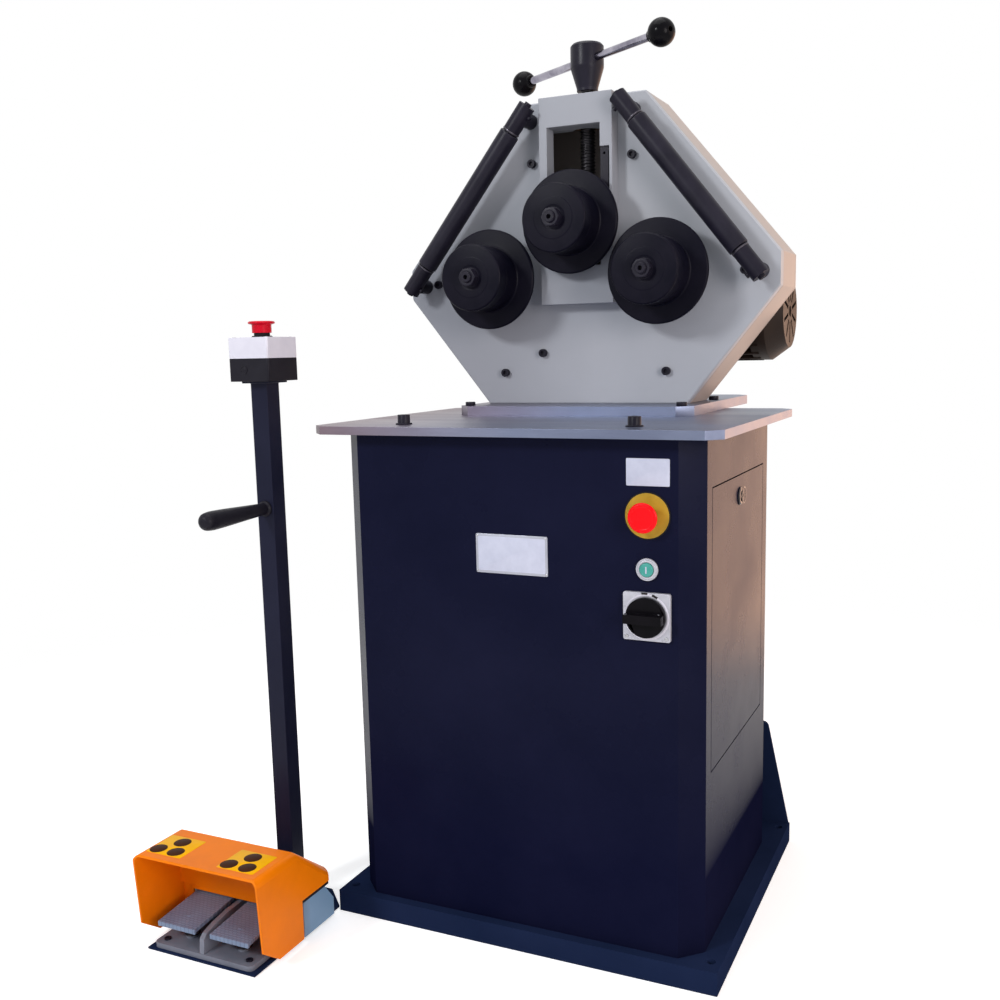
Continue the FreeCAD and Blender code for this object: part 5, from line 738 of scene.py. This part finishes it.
BUTTON_PROFILE = [(9.5, -6, 0, 0), (9.5, 2.6, 0.8, 0), (8, 3.5, 0.8, 0), (0, 3.5, 0, 0)]
BUTTON_RING = [(9.9, 3.9, 0, 0), (9.9, 5.2, 0.4, 0), (12.6, 5.2, 0.6, 0), (13.2, 3.9, 0, 0)]
SWITCH_RING = [(28.4, 0, 0, 0), (28.4, 0.7, 0.1, 0), (31.0, 0.7, 0.3, 0), (31.0, 0, 0, 0)]
turned("estop_cap_moulded", CAP_PROFILE, (CONTROL_X, CAB_FRONT - CAP_STAND, ESTOP_Z), -Y_AXIS, "estop_cap",
       ("red_plastic",), ("estop_cap",))
# A black ring round the yellow collar: painted shadow, built as a thin ring.
turned("estop_shadow_ring", ESTOP_SHADOW_PROFILE, (CONTROL_X, CAB_FRONT, ESTOP_Z), -Y_AXIS, "machine", ("black_rubber_and_shadow",))
turned("estop_sleeve", CAP_SLEEVE, (CONTROL_X, CAB_FRONT, ESTOP_Z), -Y_AXIS, "machine", ("black_rubber_and_shadow",),
       ring=True)
turned("start_button_moulded", BUTTON_PROFILE, (CONTROL_X, CAB_FRONT - BUTTON_STAND, START_Z), -Y_AXIS,
       "start_button", ("green_plastic",), ("start_button",), around=64)
turned("start_ring", BUTTON_RING, (CONTROL_X, CAB_FRONT, START_Z), -Y_AXIS, "machine", ("silver_plastic",),
       around=64)
slab("start_mark", round_rect(-0.9, 0.9, -4.6, 4.6, 0.5), 0.3,
     facing_front(CONTROL_X, CAB_FRONT - BUTTON_STAND - 3.45, START_Z), "start_button", ("plate_white",),
     edge=0.08)
turned("switch_ring", SWITCH_RING, (CONTROL_X, SWITCH_FRONT, SWITCH_Z), -Y_AXIS, "machine",
       ("white_plastic",))
slab("switch_mark_zero", round_rect(-6.6, 1.4, 30.2, 32.6, 0.4), 1.0,
     facing_front(CONTROL_X, SWITCH_FRONT, SWITCH_Z), "machine", ("print_black_and_hole_shade",), edge=0.05)
slab("switch_mark_one", [(7.4, 28.9), (14.4, 25.2), (15.8, 27.6), (8.8, 31.2)], 1.0,
     facing_front(CONTROL_X, SWITCH_FRONT, SWITCH_Z), "machine", ("print_black_and_hole_shade",), edge=0.05)
slab("switch_knob_mark", round_rect(-1.3, 1.3, -2.2, 2.2, 0.5), 0.35,
     facing_front(CONTROL_X + 18.9, KNOB_FRONT + 0.05, SWITCH_Z + 4.1), "switch_knob", ("silver_plastic",),
     edge=0.05)
for i, x in enumerate((-SWITCH_SCREW, SWITCH_SCREW)):
    socket_screw(f"switch_screw_{i}", 2.6, 1.2, (CONTROL_X + x, SWITCH_FRONT, SWITCH_Z - SWITCH_SCREW),
                 -Y_AXIS, "machine", ("bright_steel",))

DATA_PLATE = (-51, 58, 555, 610.5)
DATA_BORDER = 3.5
RIVET_INSET = 2.6
RIVET_PROFILE = [(1.5, 0, 0, 0), (1.5, 0.5, 0.4, 0), (0.6, 1.0, 0.3, 0), (0, 1.05, 0, 0)]
CORNERS = ((-1, -1), (1, -1), (-1, 1), (1, 1))
data_x = (DATA_PLATE[0] + DATA_PLATE[1]) / 2
data_z = (DATA_PLATE[2] + DATA_PLATE[3]) / 2
half_x = (DATA_PLATE[1] - DATA_PLATE[0]) / 2
half_z = (DATA_PLATE[3] - DATA_PLATE[2]) / 2
field_x = half_x - DATA_BORDER
field_z = half_z - DATA_BORDER
slab("data_plate", round_rect(-half_x, half_x, -half_z, half_z, 2), 0.8,
     facing_front(data_x, CAB_FRONT, data_z), "machine", ("plate_bare",), edge=0.25)
slab("data_plate_field", round_rect(-field_x, field_x, -field_z, field_z, 1), 0.3,
     facing_front(data_x, CAB_FRONT - 0.75, data_z), "machine", ("plate_white",), edge=0.08)
for i, (sx, sz) in enumerate(CORNERS):
    rivet = (data_x + sx * (half_x - RIVET_INSET), CAB_FRONT - 0.7, data_z + sz * (half_z - RIVET_INSET))
    turned(f"data_plate_rivet_{i}", RIVET_PROFILE, rivet, -Y_AXIS, "machine", ("bright_steel",), around=16)

BLANK_PLATE_X = CONTROL_X + 0.7
BLANK_PLATE_Z = 703
slab("blank_plate", round_rect(-29.5, 29.5, -18, 18, 1.5), 0.6,
     facing_front(BLANK_PLATE_X, CAB_FRONT, BLANK_PLATE_Z), "machine", ("plate_white",), edge=0.15)


# ---------------------------------------------------------------- door lock

LOCK_RIM_OUT = 0.5
LOCK_RIM_IN = 2.6
lock_low, lock_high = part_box("door_lock")
lock_face = (lock_high[0] / MM, (lock_low[1] + lock_high[1]) / 2 / MM, (lock_low[2] + lock_high[2]) / 2 / MM)
lock_radius = (lock_high[2] - lock_low[2]) / 2 / MM
rim_in = lock_radius - LOCK_RIM_IN
rim_out = lock_radius - LOCK_RIM_OUT
turned("lock_rim", [(rim_in, 0, 0, 0), (rim_in, 0.5, 0.15, 0), (rim_out, 0.5, 0.3, 0), (rim_out, 0, 0, 0)],
       lock_face, X_AXIS, "door_lock", ("oily_steel",), around=48)
# The keyhole's slot and eye are thin black plates on the lock face: painted shade of the hole.
slab("lock_keyhole_shade", round_rect(-0.9, 0.9, -4.2, 4.2, 0.8), 0.25, towards(lock_face, X_AXIS), "door_lock",
     ("print_black_and_hole_shade",), edge=0.05)
turned("lock_eye_shade", [(0, 0, 0, 0), (2.4, 0, 0, 0), (2.4, 0.35, 0.1, 0), (0, 0.35, 0, 0)], lock_face, X_AXIS,
       "door_lock", ("print_black_and_hole_shade",), around=24)


# ---------------------------------------------------------------- console: stop box, handle, pole

POLE_X = centre("console_pole", X)
POLE_Y = centre("console_pole", Y)
LID_TOP = low_end("console_estop_cap", Z) - CAP_STAND
LID_SCREW = 29
BOX_FRONT = low_end("console_box", Y)
PLUG_SIDE = 8.7
PLUG_Z = 842.3
HANDLE_Z = centre("console_handle", Z)
HANDLE_START = high_end("console_handle", Y)
BELLOWS_PROFILE = [(15.4, 0, 0, 0), (15.4, 1.0, 0.4, 0), (14.4, 2.2, 0.3, 0), (11.8, 2.2, 0.2, 0),
                   (11.8, 7.4, 0, 0)]
PLUG_PROFILE = [(6.2, 0, 0, 0), (6.2, 0.9, 0.4, 0), (4.9, 0.9, 0.3, 0), (4.6, 0.3, 0.2, 0),
                (2.5, 0.8, 0.6, 0), (0, 1.0, 0, 0)]
GRIP_PROFILE = [(0, 0, 0, 0), (12.2, 0, 0.2, 0), (12.2, 2.6, 1.2, 0), (9.2, 5.5, 1.5, 0), (9.4, 14, 4, 0),
                (13.4, 100, 20, 0), (14, 126, 8, 0), (12.4, 138, 5, 0), (6, 143, 4, 0), (0, 143, 0, 0)]
turned("console_cap_moulded", CAP_PROFILE, (POLE_X, POLE_Y, LID_TOP + CAP_STAND), Z_AXIS,
       "console_estop_cap", ("red_crimson",), ("console_estop_cap",))
turned("console_bellows", BELLOWS_PROFILE, (POLE_X, POLE_Y, LID_TOP), Z_AXIS, "console", ("black_rubber_and_shadow",))
turned("box_plug", PLUG_PROFILE, (POLE_X - PLUG_SIDE, BOX_FRONT, PLUG_Z), -Y_AXIS, "console",
       ("black_plastic",), around=40)
for i, (sx, sy) in enumerate(CORNERS):
    socket_screw(f"lid_screw_{i}", 2.8, 0.5, (POLE_X + sx * LID_SCREW, POLE_Y + sy * LID_SCREW, LID_TOP),
                 Z_AXIS, "console", ("bright_steel",))
turned("console_grip", GRIP_PROFILE, (POLE_X, HANDLE_START, HANDLE_Z), -Y_AXIS, "console",
       ("black_plastic",), ("console_handle",), around=56)


# ---------------------------------------------------------------- pedals and guard

GUARD_TOP = high_end("pedal_guard", Z)
STICKER_Y = -415
STICKER_DEPTH = 0.25
DISC_RADIUS = 13
DISCS = ((0, 13.5), (-20, -15), (12, -14.5))
for side, x in (("left", -473), ("right", -343)):
    slab(f"{side}_sticker", round_rect(-32, 32, -29, 29, 2), STICKER_DEPTH,
         facing_up(x, STICKER_Y, GUARD_TOP), "console", ("sticker_yellow",), edge=0.08)
    for i, (dx, dy) in enumerate(DISCS):
        slab(f"{side}_sticker_disc_{i}", disc_outline(DISC_RADIUS), 0.12,
             facing_up(x + dx, STICKER_Y + dy, GUARD_TOP + STICKER_DEPTH - 0.01), "console", ("print_brown",),
             edge=0.03)

FLOOR_TOP = 11
SPRING_Y = -416.4
SPRING_RADIUS = 10.4
SPRING_WIRE = 0.8
SPRING_TURNS = 6
SPRING_LOW = FLOOR_TOP + 3
SPRING_HEIGHT = 26
CAST_SCREW_Y = -440
for side in ("left", "right"):
    x = centre(f"{side}_pedal", X)
    spring = coil(f"{side}_pedal_spring", SPRING_RADIUS, SPRING_WIRE, SPRING_TURNS, SPRING_HEIGHT,
                  (x, SPRING_Y, SPRING_LOW), "console", ("oily_steel",))
    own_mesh(spring)
for i, x in enumerate((-478.5, -328.5)):
    socket_screw(f"cast_screw_{i}", 5.2, 2.2, (x, CAST_SCREW_Y, FLOOR_TOP), Z_AXIS, "console")

GUARD_SHEET = 3
GUARD_LEFT = low_end("pedal_guard", X)
GUARD_RIGHT = high_end("pedal_guard", X)
HEEL_Y = -359
CHEEK_WIDTH = 18.5
CHEEK_DEPTH = 4
CHEEK_LOW = 12
CHEEK_HIGH = 66
for side, edge_x in (("left", GUARD_LEFT + GUARD_SHEET), ("right", GUARD_RIGHT - GUARD_SHEET - CHEEK_WIDTH)):
    slab(f"{side}_cheek_return", round_rect(edge_x, edge_x + CHEEK_WIDTH, CHEEK_LOW, CHEEK_HIGH, 2),
         CHEEK_DEPTH, facing_front(0, HEEL_Y, 0), "console", ("orange_paint",), edge=0.4)

APRON_LEFT = -492
APRON_RIGHT = -315
APRON_Y = -365.4
APRON_DEPTH = 2
APRON_GAP = 2.5
GUARD_WALL_LOW = 60
pedal_high = max(high_end("left_pedal", Z), high_end("right_pedal", Z))
slab("guard_apron", round_rect(APRON_LEFT, APRON_RIGHT, pedal_high + APRON_GAP, GUARD_WALL_LOW + 1, 0.6),
     APRON_DEPTH, facing_front(0, APRON_Y, 0), "console", ("orange_paint",), edge=0.3)

TAIL_BELOW = 64.5
TAIL_DEPTH = 4.4
TAIL_INSET = 0.2
TAIL_ARM = 7.9
TAIL_OUTER = (GUARD_LEFT + TAIL_INSET, GUARD_RIGHT - TAIL_INSET)
TAIL_INNER = (TAIL_OUTER[0] + TAIL_ARM, TAIL_OUTER[1] - TAIL_ARM)
TAIL_FRONT = -358.6
TAIL_BEHIND = -297.5
TAIL_REAR = -292.3
TAIL_OUTLINE = [(TAIL_OUTER[0], TAIL_FRONT), (TAIL_INNER[0], TAIL_FRONT), (TAIL_INNER[0], TAIL_BEHIND),
                (TAIL_INNER[1], TAIL_BEHIND), (TAIL_INNER[1], TAIL_FRONT), (TAIL_OUTER[1], TAIL_FRONT),
                (TAIL_OUTER[1], TAIL_REAR), (TAIL_OUTER[0], TAIL_REAR)]
slab("tail_gasket", TAIL_OUTLINE, TAIL_DEPTH, facing_up(0, 0, TAIL_BELOW), "console", ("black_rubber_and_shadow",), edge=0.3)


# ---------------------------------------------------------------- camera, light and floor

def look():
    """The camera, as it was solved from the photograph."""
    camera = bpy.data.cameras.new("camera")
    camera.sensor_width = 36
    camera.lens = 39.147
    camera.shift_x = -0.0132
    camera.shift_y = 0.0138
    camera.clip_start = 0.05
    camera.clip_end = 60
    eye = bpy.data.objects.new("camera", camera)
    bpy.context.scene.collection.objects.link(eye)
    right = Vector((0.9077714, 0.4189046, -0.0216806))
    up = Vector((-0.0432671, 0.1449203, 0.9884969))
    back = Vector((0.4172278, -0.8963911, 0.1496793))
    place = Vector((0.63185, -1.57972, 0.86424))
    eye.matrix_world = Matrix(((right.x, up.x, back.x, place.x), (right.y, up.y, back.y, place.y),
                               (right.z, up.z, back.z, place.z), (0, 0, 0, 1)))
    bpy.context.scene.camera = eye


def lamp(name, at, target, size, power, colour=(1, 1, 1)):
    """A rectangular area lamp that points at a target and that the camera doesn't see."""
    data = bpy.data.lights.new(name, "AREA")
    data.shape = "RECTANGLE"
    data.size, data.size_y = size
    data.energy = power
    data.color = colour
    made = bpy.data.objects.new(name, data)
    made.location = at
    made.rotation_euler = (Vector(target) - Vector(at)).to_track_quat("-Z", "Y").to_euler()
    made.visible_camera = False
    bpy.context.scene.collection.objects.link(made)


SOFT_LIGHT = 0.46
FLOOR_GLOW = 0.5
FLOOR_WHITE = 1.15
FLOOR_CLEAR = 2.0
FLOOR_SUNK = 0.0004


def seen_rays(tree):
    """One where a camera, glossy or transmission ray looks, else zero."""
    path = tree.nodes.new("ShaderNodeLightPath")
    first = tree.nodes.new("ShaderNodeMath")
    first.operation = "MAXIMUM"
    tree.links.new(path.outputs["Is Camera Ray"], first.inputs[0])
    tree.links.new(path.outputs["Is Glossy Ray"], first.inputs[1])
    second = tree.nodes.new("ShaderNodeMath")
    second.operation = "MAXIMUM"
    tree.links.new(first.outputs[0], second.inputs[0])
    tree.links.new(path.outputs["Is Transmission Ray"], second.inputs[1])
    return second.outputs[0]


def studio():
    """A soft bluish world that the camera and reflections see as white, and five lamps."""
    world = bpy.data.worlds.new("studio")
    world.use_nodes = True
    bpy.context.scene.world = world
    tree = world.node_tree
    out = tree.nodes["World Output"]
    soft = tree.nodes["Background"]
    soft.inputs["Color"].default_value = (0.93, 0.96, 1.0, 1)
    soft.inputs["Strength"].default_value = SOFT_LIGHT
    white = tree.nodes.new("ShaderNodeBackground")
    white.inputs["Color"].default_value = (1, 1, 1, 1)
    white.inputs["Strength"].default_value = 1.0
    pick = tree.nodes.new("ShaderNodeMixShader")
    tree.links.new(seen_rays(tree), pick.inputs[0])
    tree.links.new(soft.outputs[0], pick.inputs[1])
    tree.links.new(white.outputs[0], pick.inputs[2])
    tree.links.new(pick.outputs[0], out.inputs["Surface"])
    lamp("window", (-1.35, -2.8, 2.15), (0, 0, 0.75), (0.5, 0.5), 42, (0.96, 0.98, 1.0))
    lamp("ceiling", (-0.2, -0.3, 3.2), (0, 0, 0.8), (2.0, 2.0), 30)
    lamp("door_side", (2.3, -1.7, 1.2), (-0.1, -0.2, 0.6), (0.9, 1.4), 34, (1.0, 0.93, 0.90))
    lamp("right_wall", (3.0, 0.7, 1.3), (0, 0, 0.7), (2.2, 2.4), 18, (1.0, 0.68, 0.46))
    lamp("rear_wall", (1.3, 2.4, 0.65), (0.3, 0, 0.5), (2.0, 2.2), 23, (1.0, 0.42, 0.14))
    bpy.context.scene.view_settings.view_transform = "Standard"


def ground():
    """White floor that keeps the shadow near the object and clears into the white world further out."""
    mesh = bpy.data.meshes.new("studio_floor")
    made = bmesh.new()
    bmesh.ops.create_circle(made, cap_ends=True, segments=96, radius=FLOOR_CLEAR + 0.1)
    made.to_mesh(mesh)
    made.free()
    obj = bpy.data.objects.new("studio_floor", mesh)
    obj.location.z = -FLOOR_SUNK
    bpy.context.scene.collection.objects.link(obj)
    paint = bpy.data.materials.new("studio_floor")
    paint.use_nodes = True
    tree = paint.node_tree
    shader = tree.nodes["Principled BSDF"]
    shader.inputs["Roughness"].default_value = 0.9
    shader.inputs["Specular IOR Level"].default_value = 0.05
    cloud = shader_node(tree, "ShaderNodeTexNoise", Scale=0.8, Detail=2.0)
    shade = ramp(tree, cloud.outputs["Fac"],
                 [(CLOUD_LOW, (0.87, 0.87, 0.87)), (CLOUD_HIGH, (0.89, 0.89, 0.89))])
    tree.links.new(shade, shader.inputs["Base Color"])
    glow = tree.nodes.new("ShaderNodeEmission")
    strength = tree.nodes.new("ShaderNodeMath")
    strength.operation = "MULTIPLY"
    strength.inputs[1].default_value = FLOOR_GLOW
    tree.links.new(seen_rays(tree), strength.inputs[0])
    tree.links.new(strength.outputs[0], glow.inputs["Strength"])
    both = tree.nodes.new("ShaderNodeAddShader")
    tree.links.new(shader.outputs[0], both.inputs[0])
    tree.links.new(glow.outputs[0], both.inputs[1])
    reach = tree.nodes.new("ShaderNodeVectorMath")
    reach.operation = "LENGTH"
    tree.links.new(tree.nodes.new("ShaderNodeTexCoord").outputs["Object"], reach.inputs[0])
    fade = shader_node(tree, "ShaderNodeMapRange", From_Min=FLOOR_WHITE, From_Max=FLOOR_CLEAR)
    tree.links.new(reach.outputs["Value"], fade.inputs["Value"])
    clear = tree.nodes.new("ShaderNodeBsdfTransparent")
    blend = tree.nodes.new("ShaderNodeMixShader")
    tree.links.new(fade.outputs["Result"], blend.inputs[0])
    tree.links.new(both.outputs[0], blend.inputs[1])
    tree.links.new(clear.outputs[0], blend.inputs[2])
    tree.links.new(blend.outputs[0], tree.nodes["Material Output"].inputs["Surface"])
    obj.data.materials.append(paint)


look()
studio()
ground()

bpy.context.view_layer.update()
